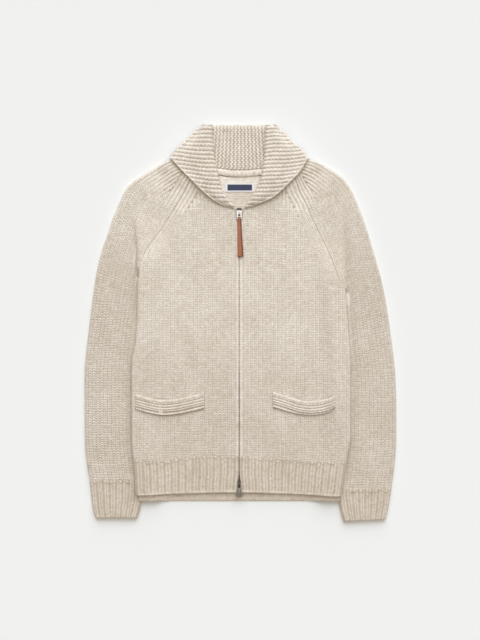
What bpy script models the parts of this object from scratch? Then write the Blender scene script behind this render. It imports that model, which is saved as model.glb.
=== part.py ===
"""A shawl collar cardigan in chunky wool with raglan sleeves and a two-way zip.

It lies flat on a surface with its front up: x runs across it, y from the hem to the collar and z up
from the surface. The tables and sizes below are in millimetres, and MM turns them into metres.
Left and right are as seen from above. Each piece is a knitted wall of its own thickness, lofted
through rows of sections, 0.3 mm from its neighbours at the seams.
"""

from collections import namedtuple
import math

import bmesh
import bpy
import numpy as np
from mathutils import Vector
from mathutils.bvhtree import BVHTree

MM = 0.001
SEAM = 0.3          # gap between two pieces at a seam
WALL = 4.5          # knitted cloth of the body and sleeves
COLLAR_WALL = 6.0   # garter stitch cloth of the collar
LAYER_GAP = 1.5     # air between the lower and the upper layer
EDGE_STEPS = (0, 0.12, 1.0)     # insets of a rounded edge's columns, as shares of its radius
FLAT = 2 * WALL + LAYER_GAP       # two layers lying on each other
ROLL = FLAT / 2                   # radius of a folded side
SEAM_ROLL = 1.2                   # rounding of a panel's edge along a raglan seam
ZIP_EDGE = 1.6      # rounding of a front's edge along the zip
ZIP_X = -2.0
FRONT_LOW = -270
ORIGIN_X, ORIGIN_Y = 0.5, -0.2    # middle of the laid garment, which becomes the part's origin

Edge = namedtuple("Edge", "y x")
Spread = namedtuple("Spread", "y half")
Level = namedtuple("Level", "y z")
Line = namedtuple("Line", "x y")
Station = namedtuple("Station", "inner_y outer_x outer_y")
SIDES = {"left": -1, "right": 1}

# Side edge of the body from the hem corner to the underarm, then the fold of the sleeve above it
BODY_EDGE = {
    "left": (Edge(-345, -203), Edge(-334, -209), Edge(-294, -211), Edge(-254, -215), Edge(-224, -217),
             Edge(-84, -217), Edge(-34, -208.5), Edge(6, -205.5), Edge(66, -205), Edge(114, -201),
             Edge(146, -200.5), Edge(176, -202.5), Edge(202, -206.5), Edge(216, -216), Edge(240, -235)),
    "right": (Edge(-347, 199), Edge(-334, 202.5), Edge(-294, 208.5), Edge(-254, 215), Edge(-224, 220.5),
              Edge(-84, 220.5), Edge(-34, 217), Edge(6, 214), Edge(40, 211.5), Edge(72, 208),
              Edge(106, 206), Edge(146, 203.5), Edge(190, 201), Edge(226, 198), Edge(240, 197)),
}
UNDERARM_Y = {"left": 114, "right": 72}
RAGLAN = {
    "left": (Edge(114, -201), Edge(140, -190), Edge(156, -180), Edge(170, -170), Edge(186, -158),
             Edge(202, -148), Edge(214, -140), Edge(230, -130), Edge(246, -120), Edge(260, -112),
             Edge(284, -100), Edge(310, -88)),
    "right": (Edge(72, 208), Edge(86, 197), Edge(118, 186), Edge(146, 174), Edge(174, 160),
              Edge(196, 150), Edge(216, 140), Edge(236, 132), Edge(258, 120), Edge(272, 115),
              Edge(310, 102)),
}
# Half the width of the front opening, round the zip and then along the hidden neckline
OPENING = (Spread(-346, 7.5), Spread(-326, 6.4), Spread(-312, 6.0), Spread(-298, 1.6), Spread(190, 1.6),
           Spread(208, 5), Spread(222, 9), Spread(234, 24), Spread(246, 45), Spread(266, 60),
           Spread(290, 71), Spread(310, 74))
# Sleeves: a section runs from the inner edge at inner_y to the outer fold
SLEEVE = {
    "left": (Station(310, -88, 340), Station(288, -112, 333), Station(268, -140, 326),
             Station(250, -166, 312), Station(232, -190, 298), Station(215, -213, 283),
             Station(195, -229, 266), Station(175, -242, 238), Station(155, -254, 210),
             Station(135, -264, 179), Station(114, -273, 154), Station(102, -277, 140),
             Station(84, -283, 118),
             Station(50, -292, 66), Station(5, -300, 2), Station(-45, -306, -48),
             Station(-106, -310.4, -106), Station(-180, -310.4, -180), Station(-240, -309.6, -240),
             Station(-280, -306, -280), Station(-314, -300.4, -314)),
    "right": (Station(310, 92, 338), Station(288, 114, 332), Station(268, 136, 327.5),
              Station(248, 160, 319), Station(226, 182, 306), Station(204, 203, 291),
              Station(182, 218, 272), Station(160, 230, 248), Station(137, 242, 218),
              Station(115, 252, 190), Station(93, 261, 160), Station(72, 270, 130),
              Station(60, 273, 118), Station(44, 279, 98), Station(0, 290, 46), Station(-45, 300, -20),
              Station(-110, 309.6, -106), Station(-180, 311.4, -180), Station(-240, 311.4, -236),
              Station(-290, 307, -290), Station(-332, 301.6, -332)),
}
TUCK = {    # inner edge of the sleeve, under the body below the underarm
    "left": (Edge(-348, -194.5), Edge(-314, -192.5), Edge(-254, -194.5), Edge(-154, -195.5),
             Edge(-54, -188), Edge(0, -189), Edge(50, -193), Edge(84, -197), Edge(102, -202.3),
             Edge(114, -201)),
    "right": (Edge(-348, 195.5), Edge(-332, 193.5), Edge(-274, 193.5), Edge(-224, 198.5),
              Edge(-84, 198.5), Edge(-30, 197), Edge(10, 200), Edge(44, 205), Edge(60, 209.2),
              Edge(72, 208)),
}
SEAM_ROWS = (72, 93, 114, 135, 155, 175, 195, 215, 232, 250, 268, 288, 310)
CUFF = {    # inner and outer edge of each cuff, from its top to its bottom edge
    "left": ((Line(-192.5, -314.5), Line(-194.5, -346), Line(-200, -372), Line(-205, -389)),
             (Line(-300.4, -314.5), Line(-297, -346), Line(-294, -372), Line(-289, -389))),
    "right": ((Line(193.5, -332.5), Line(195.5, -348), Line(200, -374), Line(206, -396)),
              (Line(301.6, -332.5), Line(299.5, -346), Line(296, -368), Line(290.5, -392))),
}
HEM_TOP = (Line(-215, -272), Line(-160, -276), Line(-110, -269), Line(-65, -265), Line(-2, -266),
           Line(50, -270), Line(90, -275), Line(130, -276), Line(220, -276))
BACK_LOW = -272
HEM_BOTTOM = (Line(-204, -344), Line(-140, -341), Line(-4, -338), Line(80, -340), Line(200, -346))
BACK_HEM_BOTTOM = -352
HEM_RIBS = {"left": 13, "right": 14}
CUFF_RIBS = 7
COVERED = 14                # strip of a cuff that lies under the hem, left plain
RIB_HEIGHT = 1.4

# Collar: the inner edges of the lapels, their rolled outer side down to the shoulder, and the free edge
LAPEL_INNER = {
    "left": (Edge(232, -10), Edge(240, -18), Edge(266, -36), Edge(290, -42), Edge(316, -48),
             Edge(346, -53), Edge(396, -55.5)),
    "right": (Edge(232, 8), Edge(246, 18), Edge(266, 31), Edge(292, 42), Edge(316, 45.5),
              Edge(346, 48.5), Edge(396, 50.5)),
}
COLLAR_ROLL = {
    "left": (Line(-74, 394.5), Line(-90, 387), Line(-100, 377), Line(-110, 366.5), Line(-120, 356),
             Line(-132, 346), Line(-138, 337), Line(-140.5, 329)),
    "right": (Line(71, 394.5), Line(83, 387), Line(93, 377), Line(102, 366.5), Line(112, 356),
              Line(122, 349.5), Line(130, 340), Line(137, 329)),
}
COLLAR_EDGE = {
    "left": (Line(-140.5, 329), Line(-120, 306), Line(-100, 286), Line(-80, 266), Line(-60, 249),
             Line(-40, 236.5), Line(-28, 232)),
    "right": (Line(137, 329), Line(126, 310), Line(114, 294), Line(100, 280), Line(86, 266),
              Line(66, 250), Line(44, 240), Line(26, 233)),
}
COLLAR_TOP = 395.6
LAPEL_RIDGES = 19
RIDGE_HEIGHT = 1.7
RIDGE_RISE = 8              # how far a garter ridge climbs towards the outer edge
STAND_Y = 291               # neck seam behind, at the middle
STAND_HALF = 68
TOP_DROP = 5                # how far the top fold comes down at its two ends
FALL_INSET = 2              # of the fall's side edges inside the lapels
STAND_LEVEL = COLLAR_WALL + LAYER_GAP
STAND_COLUMNS = 14
STAND_PITCH = 7.2
BIND_OFF = 13               # width of the smooth ridge along the neck seam
FALL_CENTRE_Y, FALL_RADIUS = 470, 198       # arc of the free edge behind
FALL_LEVEL, FALL_CLEAR, FALL_RAMP = COLLAR_WALL + 0.8, 8, 42
# Underside of the folded lapel at its inner edge, from the zip up to the stand
LAPEL_BASE = (Level(232, 6.2), Level(238, 7.2), Level(252, 10.8), Level(272, 12.6),
              Level(290, 14.3), Level(400, 14.3))
FOLD_BACK = 16              # width of the lapel's hidden layer
LAPEL_GAP = 0.3
LAPEL_TOP_SQUEEZE = (0.4, 0.8, 1.0)     # how full the lapel is in its first rows
LAPEL_END_SQUEEZE = 0.7                # and in its last one
ROLL_RADIUS, EDGE_ROLL = 7.0, 3.0       # of the collar's rolled side and of its free edge
CORNER_SHARE = 0.42         # where along the lapel its rolled side ends

LIFT = FLAT + SEAM          # the body's side edge lies on the sleeve
LIFT_START = 118            # above the underarm
SLEEVE_DROP = 12            # height over which a sleeve sinks beside the underarm
TUCK_DEPTH, LIFT_RAMP = 25, 62
RAMP_COLUMNS = (25, 38, 50, 62)      # insets where a panel's columns follow that lift
HALF_BODY = 216
FOLD_START, FOLD_RAMP = 2, 9

WELT_WALL = 3.4
WELT = {    # x, top and bottom edge of each pocket welt
    "left": (Line(-208, (-142, -171)), Line(-181, (-149, -179)), Line(-154, (-154, -184)),
             Line(-130, (-152, -183)), Line(-100, (-146, -178)), Line(-71.5, (-139, -171))),
    "right": (Line(64.5, (-137, -168)), Line(82, (-142, -173)), Line(100, (-148, -178)),
              Line(120, (-154, -182)), Line(140, (-156, -184)), Line(160, (-154, -182)),
              Line(178, (-149, -177)), Line(189, (-143, -169))),
}
WELT_RIDGES = 5

ZIP_BOTTOM, ZIP_TOP = -334, 226
TAPE_WIDTH, TAPE_THICK, TAPE_Z = 13, 0.8, 4.85
CHAIN_WIDTH, CHAIN_Z, CHAIN_TOP = 2.2, 4.8, 8.0
LABEL = (-30.5, 27.5, 261.5, 278.5)   # x and y limits
LABEL_THICK = 0.8
SLIDER_WIDTH, SLIDER_LENGTH, SLIDER_THICK = 10.5, 13, 3.2
PIVOT_TOP_Y, PIVOT_BOTTOM_Y, PIVOT_Z = 222.0, -320.0, 14.2
PULL_THICK, PULL_CLEAR = 1.6, 0.6
LEATHER_END, LEATHER_START = 132, 206
LEATHER_THICK = 1.5


def start_scene():
    """Empties the scene and returns the collection for the cardigan's pieces."""
    for item in list(bpy.data.objects):
        bpy.data.objects.remove(item)
    pieces = bpy.data.collections.new("shawl_collar_cardigan")
    bpy.context.scene.collection.children.link(pieces)
    return pieces


PIECES = start_scene()


def material(name, colour, roughness, metallic=0.0):
    made = bpy.data.materials.new(name)
    made.use_nodes = True
    shader = made.node_tree.nodes["Principled BSDF"]
    shader.inputs["Base Color"].default_value = (*colour, 1)
    shader.inputs["Roughness"].default_value = roughness
    shader.inputs["Metallic"].default_value = metallic
    return made


def soft(table, at, key=0, value=1):
    """A smooth curve through a table's rows that never swings past them."""
    rows = sorted((row[key], row[value]) for row in table)
    xs, ys = np.array(rows, float).T
    gaps = np.diff(xs)
    slopes = np.diff(ys) / gaps
    tangents = np.zeros(len(xs))
    tangents[0], tangents[-1] = slopes[0], slopes[-1]
    same = slopes[:-1] * slopes[1:] > 0
    pair = slopes[:-1] + slopes[1:]
    tangents[1:-1] = np.where(same, 2 * slopes[:-1] * slopes[1:] / np.where(same, pair, 1), 0)
    at = np.clip(np.asarray(at, float), xs[0], xs[-1])
    i = np.clip(np.searchsorted(xs, at) - 1, 0, len(gaps) - 1)
    t = (at - xs[i]) / gaps[i]
    return ((1 + 2 * t) * (1 - t) ** 2 * ys[i] + t * (1 - t) ** 2 * gaps[i] * tangents[i]
            + t * t * (3 - 2 * t) * ys[i + 1] + t * t * (t - 1) * gaps[i] * tangents[i + 1])


def along(points, share):
    """The point at a share of a path's length, on a smooth curve through its points."""
    path = np.array(points, float)
    run = np.concatenate([[0], np.cumsum(np.hypot(*np.diff(path, axis=0).T))])
    run /= run[-1]
    return np.stack([soft(list(zip(run, path[:, k])), share) for k in (0, 1)], axis=-1)


def step(value, low, high):
    t = np.clip((value - low) / (high - low), 0, 1)
    return t * t * (3 - 2 * t)


def rounded(inset, radius):
    """How full a rounded edge is at an inset from it, and how far its wall leans inwards."""
    lean = 1 - np.clip(inset / radius, 0, 1)
    return np.sqrt(1 - lean ** 2), lean


def ground(x, y, on_sleeve=False):
    """Height of what lies under the lower layer: the collar's fall, or a sleeve's tucked edge."""
    reach = np.hypot(x - ZIP_X, y - FALL_CENTRE_Y) - FALL_RADIUS
    height = FALL_LEVEL * (1 - step(reach, FALL_CLEAR, FALL_RAMP))
    for side, sign in SIDES.items():
        underarm = UNDERARM_Y[side]
        inside = sign * (soft(BODY_EDGE[side], y) - x)
        lift = LIFT * step(-y, -underarm - LIFT_START, -underarm - 6)
        if on_sleeve:
            lift = lift * step(y, underarm - SLEEVE_DROP, underarm)
        within = 1 - step(inside, TUCK_DEPTH, LIFT_RAMP)
        beyond = 1 - step(-inside, FOLD_START, FOLD_START + FOLD_RAMP)
        height = height + lift * np.where(inside > 0, within, beyond)
    return height


def wall(name, outer, inner, finish, smooth=True):
    """A closed wall between two grids of points, the first of them its outer face."""
    outer, inner = np.asarray(outer, float), np.asarray(inner, float)
    rows, columns = outer.shape[:2]
    mesh = bmesh.new()
    sheets = []
    for points in (outer, inner):
        made = bmesh.ops.create_grid(mesh, x_segments=columns - 1, y_segments=rows - 1, size=1)
        ordered = sorted(made["verts"], key=lambda v: (round(v.co.y, 5), round(v.co.x, 5)))
        for vertex, place in zip(ordered, points.reshape(-1, 3)):
            vertex.co = (place - (ORIGIN_X, ORIGIN_Y, 0)) * MM
        sheets.append(np.array(ordered, dtype=object).reshape(rows, columns))
    front, rear = sheets
    rim = [(0, c) for c in range(columns)] + [(r, columns - 1) for r in range(1, rows)]
    rim += [(rows - 1, c) for c in range(columns - 2, -1, -1)] + [(r, 0) for r in range(rows - 2, 0, -1)]
    for here, there in zip(rim, rim[1:] + rim[:1]):
        mesh.faces.new((front[here], front[there], rear[there], rear[here]))
    bmesh.ops.recalc_face_normals(mesh, faces=mesh.faces)
    return finish_mesh(name, mesh, finish, smooth)


def settled(outer, inner, names, first=0, reach=6.0):
    """Raises a wall's columns from the first one on, where they would cut into the pieces named."""
    lower = bmesh.new()
    for name in names:
        lower.from_mesh(PIECES.objects[name].data)
    tree = BVHTree.FromBMesh(lower)
    lower.free()
    outer, inner = np.array(outer, float), np.array(inner, float)
    under = inner[:, first:]
    lift = np.zeros(under.shape[:2])
    parts = [(u, v) for u in np.linspace(0, 1, 5) for v in np.linspace(0, 1, 5)]
    for r in range(lift.shape[0] - 1):
        for c in range(lift.shape[1] - 1):
            worst = 0.0
            for u, v in parts:
                place = ((1 - u) * ((1 - v) * under[r, c] + v * under[r, c + 1])
                         + u * ((1 - v) * under[r + 1, c] + v * under[r + 1, c + 1]))
                above = Vector((place + (-ORIGIN_X, -ORIGIN_Y, reach)) * MM)
                found = tree.ray_cast(above, Vector((0, 0, -1)), (reach + SEAM) * MM)[0]
                if found:
                    worst = max(worst, found.z / MM + SEAM - place[2])
            lift[r:r + 2, c:c + 2] = np.maximum(lift[r:r + 2, c:c + 2], worst)
    outer[:, first:, 2] += lift
    inner[:, first:, 2] += lift
    return outer, inner


def finish_mesh(name, mesh, finish, smooth=True, origin=(0, 0, 0)):
    data = bpy.data.meshes.new(name)
    bmesh.ops.translate(mesh, verts=mesh.verts, vec=[-v for v in origin])
    mesh.to_mesh(data)
    mesh.free()
    if smooth:
        data.shade_smooth()
        data.set_sharp_from_angle(angle=math.radians(40))
    data.materials.append(finish)
    made = bpy.data.objects.new(name, data)
    made.location = origin
    PIECES.objects.link(made)
    return made


def stack(x, y, z):
    x, y, z = np.broadcast_arrays(x, y, z)
    return np.stack([x, y, z], axis=-1)


WOOL = material("oatmeal_wool", (0.62, 0.53, 0.42), 0.95)
WOOL_COLLAR = material("garter_wool", (0.66, 0.57, 0.46), 0.95)
WOOL_RIB = material("ribbed_wool", (0.58, 0.49, 0.38), 0.95)
TAPE = material("woven_tape", (0.70, 0.62, 0.52), 0.9)
STEEL = material("nickel_plated_steel", (0.62, 0.61, 0.6), 0.3, 1.0)
DARK_STEEL = material("dark_steel", (0.12, 0.11, 0.1), 0.4, 1.0)
LEATHER = material("tan_leather", (0.30, 0.085, 0.03), 0.5)
NAVY = material("navy_weave", (0.03, 0.05, 0.12), 0.8)


def panel_edge(side, y):
    """Outer edge of a front or of the back: the side seam, then the raglan seam."""
    y = np.asarray(y, float)
    sign = SIDES[side]
    below = soft(BODY_EDGE[side], y)
    above = soft(RAGLAN[side], y) - sign * SEAM / 2
    return np.where(y < UNDERARM_Y[side], below, above)


def panel_roll(side, y):
    """Radius of that edge: a folded side below the underarm, a seam above it."""
    return np.where(np.asarray(y, float) < UNDERARM_Y[side] - 1, ROLL, SEAM_ROLL)


def offset_inner(x, y, z, lean, full, radius, sign, thick, down):
    """Inner points of a wall whose side is rounded towards +x (sign 1) or -x (sign -1)."""
    deep = radius >= thick
    shift = np.where(deep, thick, radius) * lean
    drop = np.where(deep, thick * full, thick - radius * (1 - full))
    return stack(x - sign * shift, y, z - down * drop)


def panel_rows(side, low, high):
    """Heights of a panel's rows: shared with the sleeve along the raglan seam."""
    below = UNDERARM_Y[side] - 30
    return list(np.linspace(low, below, 6)) + [y for y in SEAM_ROWS if UNDERARM_Y[side] <= y <= high]


def seam_half(insets, radius):
    """Half the gap of the side seam, where a folded side's edge lies."""
    return np.where((np.abs(insets) < 1e-6) & (radius > WALL), SEAM / 2, 0)


def front_plan(side):
    """Where a front's rows and columns lie, with its insets from the side seam and its width."""
    sign = SIDES[side]
    rows = np.array(panel_rows(side, FRONT_LOW, 310))[:, None]
    radius = panel_roll(side, rows)
    outer_x = panel_edge(side, rows)
    width = np.abs(outer_x - ZIP_X - sign * soft(OPENING, rows))
    shares = np.array([c / HALF_BODY for c in RAMP_COLUMNS] + [0.5, 0.75])
    insets = np.concatenate([radius * np.array([EDGE_STEPS]), radius + (width - radius) * shares,
                             width - ZIP_EDGE * np.array([[1.0, 0.3, 0]])], axis=1)
    x = outer_x - sign * insets
    bend = np.clip(1 - (rows - FRONT_LOW) / 120, 0, 1)
    y = rows + bend * (soft(HEM_TOP, x) - FRONT_LOW + SEAM / 2)
    return x, y, insets, width, radius


def front(side):
    sign = SIDES[side]
    x, y, insets, width, radius = front_plan(side)
    full, lean = rounded(insets, radius)
    full_in, lean_in = rounded(width - insets, ZIP_EDGE)
    top = ground(x, y) + FLAT
    z = top - radius * (1 - full) - ZIP_EDGE * (1 - full_in) + seam_half(insets, radius)
    inner = offset_inner(x, y, z, lean, full, radius, sign, WALL, 1)
    inner[..., 2] = np.where(full_in < 1, top - WALL, inner[..., 2])
    inner[..., 0] = inner[..., 0] + sign * ZIP_EDGE * lean_in * 0.5
    wall(f"front_{side}", stack(x, y, z), inner, WOOL)


def back_columns(rows):
    """Where the back's columns lie across each of its rows."""
    left, right = panel_edge("left", rows), panel_edge("right", rows)
    arc = np.array([EDGE_STEPS])
    ramp = [c / HALF_BODY / 2 for c in RAMP_COLUMNS]
    shares = np.array(ramp + [0.32, 0.5, 0.68] + [1 - r for r in ramp[::-1]])
    return np.concatenate([left + panel_roll("left", rows) * arc, left + (right - left) * shares,
                           right - panel_roll("right", rows) * arc[:, ::-1]], axis=1)


def neck_line(x):
    """The seam between the back and the collar's stand, lowest in the middle."""
    knots = back_columns(np.array([[SEAM_ROWS[-1]]]))[0]
    half = np.where(knots < ZIP_X, knots[0], knots[-1]) - ZIP_X
    rise = SEAM_ROWS[-1] + SEAM - STAND_Y
    return STAND_Y + np.interp(x, knots, rise * ((knots - ZIP_X) / half) ** 2)


def back():
    rows = np.concatenate([np.linspace(BACK_LOW, 40, 5), SEAM_ROWS])[:, None]
    left, right = panel_edge("left", rows), panel_edge("right", rows)
    roll_left, roll_right = panel_roll("left", rows), panel_roll("right", rows)
    x = back_columns(rows)
    y = rows + step(rows, 232, 310) * (neck_line(x) - SEAM - 310)
    full_l, lean_l = rounded(x - left, roll_left)
    full_r, lean_r = rounded(right - x, roll_right)
    z = ground(x, y) + roll_left * (1 - full_l) + roll_right * (1 - full_r)
    is_left = (x - left) < (right - x)
    full = np.where(is_left, full_l, full_r)
    lean = np.where(is_left, lean_l, lean_r)
    radius = np.where(is_left, roll_left, roll_right)
    sign = np.where(is_left, -1, 1)
    inner = offset_inner(x, y, z, lean, full, radius, sign, WALL, -1)
    seam = seam_half(np.minimum(x - left, right - x), radius)
    outer = stack(x, y, z - seam)
    inner[..., 2] -= seam
    wall("back", outer, inner, WOOL)


def sleeve(side):
    sign = SIDES[side]
    table = SLEEVE[side]
    stations = [Station(y, float(soft(table, y, 0, 1)), float(soft(table, y, 0, 2)))
                for y in SEAM_ROWS[::-1] if y >= UNDERARM_Y[side]]
    stations += [row for row in table if row.inner_y < UNDERARM_Y[side]]
    upper, lower = [], []
    for row in stations:
        on_raglan = row.inner_y >= UNDERARM_Y[side]
        radius = SEAM_ROLL if on_raglan else ROLL
        table = RAGLAN[side] if on_raglan else TUCK[side]
        start = np.array([soft(table, row.inner_y) + (sign * SEAM / 2 if on_raglan else 0), row.inner_y])
        end = np.array([row.outer_x, row.outer_y], float)
        span = np.hypot(*(end - start))
        way = (end - start) / span
        probe = np.linspace(0, span, 200)
        past = sign * (start[0] + way[0] * probe - soft(BODY_EDGE[side], start[1] + way[1] * probe)) > FOLD_START
        crest = float(np.clip(probe[np.argmax(past)], 3, 0.3 * span)) if on_raglan else 0.12 * span
        foot = crest + min(FOLD_RAMP / abs(way[0]), 14)
        middle = [foot + (span - ROLL - foot) * s for s in (0.33, 0.66)]
        near, far = [radius * s for s in EDGE_STEPS], [span - ROLL * s for s in EDGE_STEPS[::-1]]
        folds = [crest + radius, foot + radius]
        under = far[::-1][1:] + middle[::-1] + folds[::-1] + near[::-1]
        for along_it, layer, kept in ((near + folds + middle + far, upper, 1), (under, lower, -1)):
            inset = np.array(along_it)
            x, y = start[0] + way[0] * inset, start[1] + way[1] * inset
            full, lean = rounded(inset, radius)
            full_o, lean_o = rounded(span - inset, ROLL)
            base = ground(x, y, on_sleeve=True)
            half = base + ROLL
            if on_raglan:
                z = base + (FLAT if kept > 0 else 0) - kept * (SEAM_ROLL * (1 - full) + ROLL * (1 - full_o))
            else:
                z = half + kept * ROLL * np.minimum(full, full_o)
                z = z + kept * SEAM / 2 * (inset < 1e-6)
            out = stack(x, y, z)
            push = np.where(lean_o > 0, lean_o * WALL, -lean * (WALL if radius > WALL else SEAM_ROLL))
            depth = np.where(lean_o > 0, full_o * WALL, WALL * full if radius > WALL
                             else WALL - SEAM_ROLL * (1 - full))
            inn = stack(x - way[0] * push, y - way[1] * push, z - kept * depth)
            layer.append((out, inn))
    outer = np.array([np.concatenate([a[0], b[0]]) for a, b in zip(upper, lower)])
    inner = np.array([np.concatenate([a[1], b[1]]) for a, b in zip(upper, lower)])
    wall(f"sleeve_{side}", outer, inner, WOOL)


def ribs(share, count):
    """Height of ribs across a band, 0 between them and 1 on top."""
    wave = np.cos(2 * math.pi * share * count)
    return np.clip(0.5 - 0.9 * wave, 0, 1)


def rib_shares(count):
    """Where a band's columns lie, four to a rib: its two feet and its two shoulders."""
    steps = np.array([0.0, 0.18, 0.34, 0.66, 0.82])
    found = [(rib + s) / count for rib in range(count) for s in steps[:-1] + 0.09]
    return np.array(found)


def cuff(side):
    sign = SIDES[side]
    inner_line, outer_line = CUFF[side]
    upper, lower = [], []
    for share, drop in ((0, 0), (0.5, 0), (0.955, 0), (1, 2.2)):
        start, end = along(inner_line, share), along(outer_line, share)
        span = np.hypot(*(end - start))
        way = (end - start) / span
        mid = ROLL + (span - 2 * ROLL) * rib_shares(CUFF_RIBS)
        arc = [ROLL * s for s in EDGE_STEPS[:-1]]
        insets = np.array(arc + list(mid) + [span - a for a in arc[::-1]])
        plain = np.array(arc + [ROLL, span / 2, span - ROLL] + [span - a for a in arc[::-1]])
        for inset, layer, kept in ((insets, upper, 1), (plain[::-1][1:], lower, -1)):
            x, y = start[0] + way[0] * inset, start[1] + way[1] * inset
            full, lean = rounded(inset, ROLL)
            full_o, lean_o = rounded(span - inset, ROLL)
            z = ROLL + kept * ROLL * np.minimum(full, full_o) + kept * SEAM / 2 * (inset < 1e-6)
            push = (lean_o - lean) * WALL
            depth = np.minimum(full, full_o) * WALL
            inn = stack(x - way[0] * push, y - way[1] * push, z - kept * depth)
            raised = RIB_HEIGHT * ribs((inset - ROLL) / (span - 2 * ROLL), CUFF_RIBS) * (inset > COVERED)
            flat = (lean == 0) & (lean_o == 0)
            if kept > 0:
                z = z + np.where(flat, raised - drop, 0)
            layer.append((stack(x, y, z), inn))
    outer = np.array([np.concatenate([a[0], b[0]]) for a, b in zip(upper, lower)])
    inner = np.array([np.concatenate([a[1], b[1]]) for a, b in zip(upper, lower)])
    wall(f"cuff_{side}", outer, inner, WOOL_RIB)


def hem_front(side):
    sign = SIDES[side]
    count = HEM_RIBS[side]
    seam_x, seam_y = [found[0][::sign * -1] for found in front_plan(side)[:2]]
    outer, inner = [], []
    for share, drop in ((0, 0), (0.5, 0), (0.965, 0), (1, 2.2)):
        level = FRONT_LOW - share * 72
        side_x = soft(BODY_EDGE[side], level)
        front_x = ZIP_X + sign * soft(OPENING, level)
        span = abs(side_x - front_x)
        mid = ROLL + (span - ROLL - ZIP_EDGE) * rib_shares(count)
        inset = np.array([ROLL * s for s in EDGE_STEPS[:-1]] + list(mid) + [span - ZIP_EDGE * 0.3, span])
        x = side_x - sign * inset
        top_y, low_y = np.interp(x, seam_x, seam_y) - SEAM, soft(HEM_BOTTOM, x)
        y = top_y + (low_y - top_y) * share
        full, lean = rounded(inset, ROLL)
        full_in, lean_in = rounded(span - inset, ZIP_EDGE)
        raised = RIB_HEIGHT * ribs((inset - ROLL) / (span - ROLL - ZIP_EDGE), count)
        top = ground(x, y) + FLAT
        z = top - ROLL * (1 - full) - ZIP_EDGE * (1 - full_in) + seam_half(inset, ROLL)
        inn = offset_inner(x, y, z, lean, full, ROLL, sign, WALL, 1)
        inn[..., 2] = np.where(full_in < 1, top - WALL, inn[..., 2])
        flat = (lean == 0) & (lean_in == 0)
        z = z + np.where(flat, raised - drop, -0.4 * drop * full)
        outer.append(stack(x, y, z))
        inner.append(inn)
    wall(f"hem_front_{side}", outer, inner, WOOL_RIB)


def hem_back():
    outer, inner = [], []
    for share in (0, 0.4, 0.8, 1):
        level = BACK_LOW - share * (BACK_LOW - BACK_HEM_BOTTOM) - SEAM
        left, right = soft(BODY_EDGE["left"], level), soft(BODY_EDGE["right"], level)
        arc = ROLL * np.array(EDGE_STEPS)
        ramp = np.array(RAMP_COLUMNS)
        x = np.concatenate([left + arc, left + ramp, [ZIP_X], right - ramp[::-1], right - arc[::-1]])
        full_l, lean_l = rounded(x - left, ROLL)
        full_r, lean_r = rounded(right - x, ROLL)
        full, lean = np.minimum(full_l, full_r), np.maximum(lean_l, lean_r)
        sign = np.where(x - left < right - x, -1, 1)
        z = ground(x, level) + ROLL * (1 - full) - np.where(full < 1e-6, SEAM / 2, 0)
        outer.append(stack(x, level, z))
        inner.append(offset_inner(x, np.full_like(x, level), z, lean, full, ROLL, sign, WALL, -1))
    wall("hem_back", outer, inner, WOOL_RIB)


def lapel_frame(side, share):
    """The inner and outer end of a row of the lapel, from the collar's top at 0 to the zip at 1."""
    sign = SIDES[side]
    y_in = COLLAR_TOP - share * (COLLAR_TOP - 232)
    start = np.array([soft(LAPEL_INNER[side], y_in), y_in])
    corner = COLLAR_ROLL[side][-1].y
    y_out = y_in + RIDGE_RISE * math.sin(math.pi * share) - 1.2 * (1 - share)
    if y_out > corner:
        outer_x = soft([(p.y, p.x) for p in COLLAR_ROLL[side]], y_out)
    else:
        outer_x = soft([(p.y, p.x) for p in COLLAR_EDGE[side]], y_out)
    return start, np.array([outer_x, min(y_out, COLLAR_ROLL[side][0].y)]), y_out > corner, sign


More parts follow.
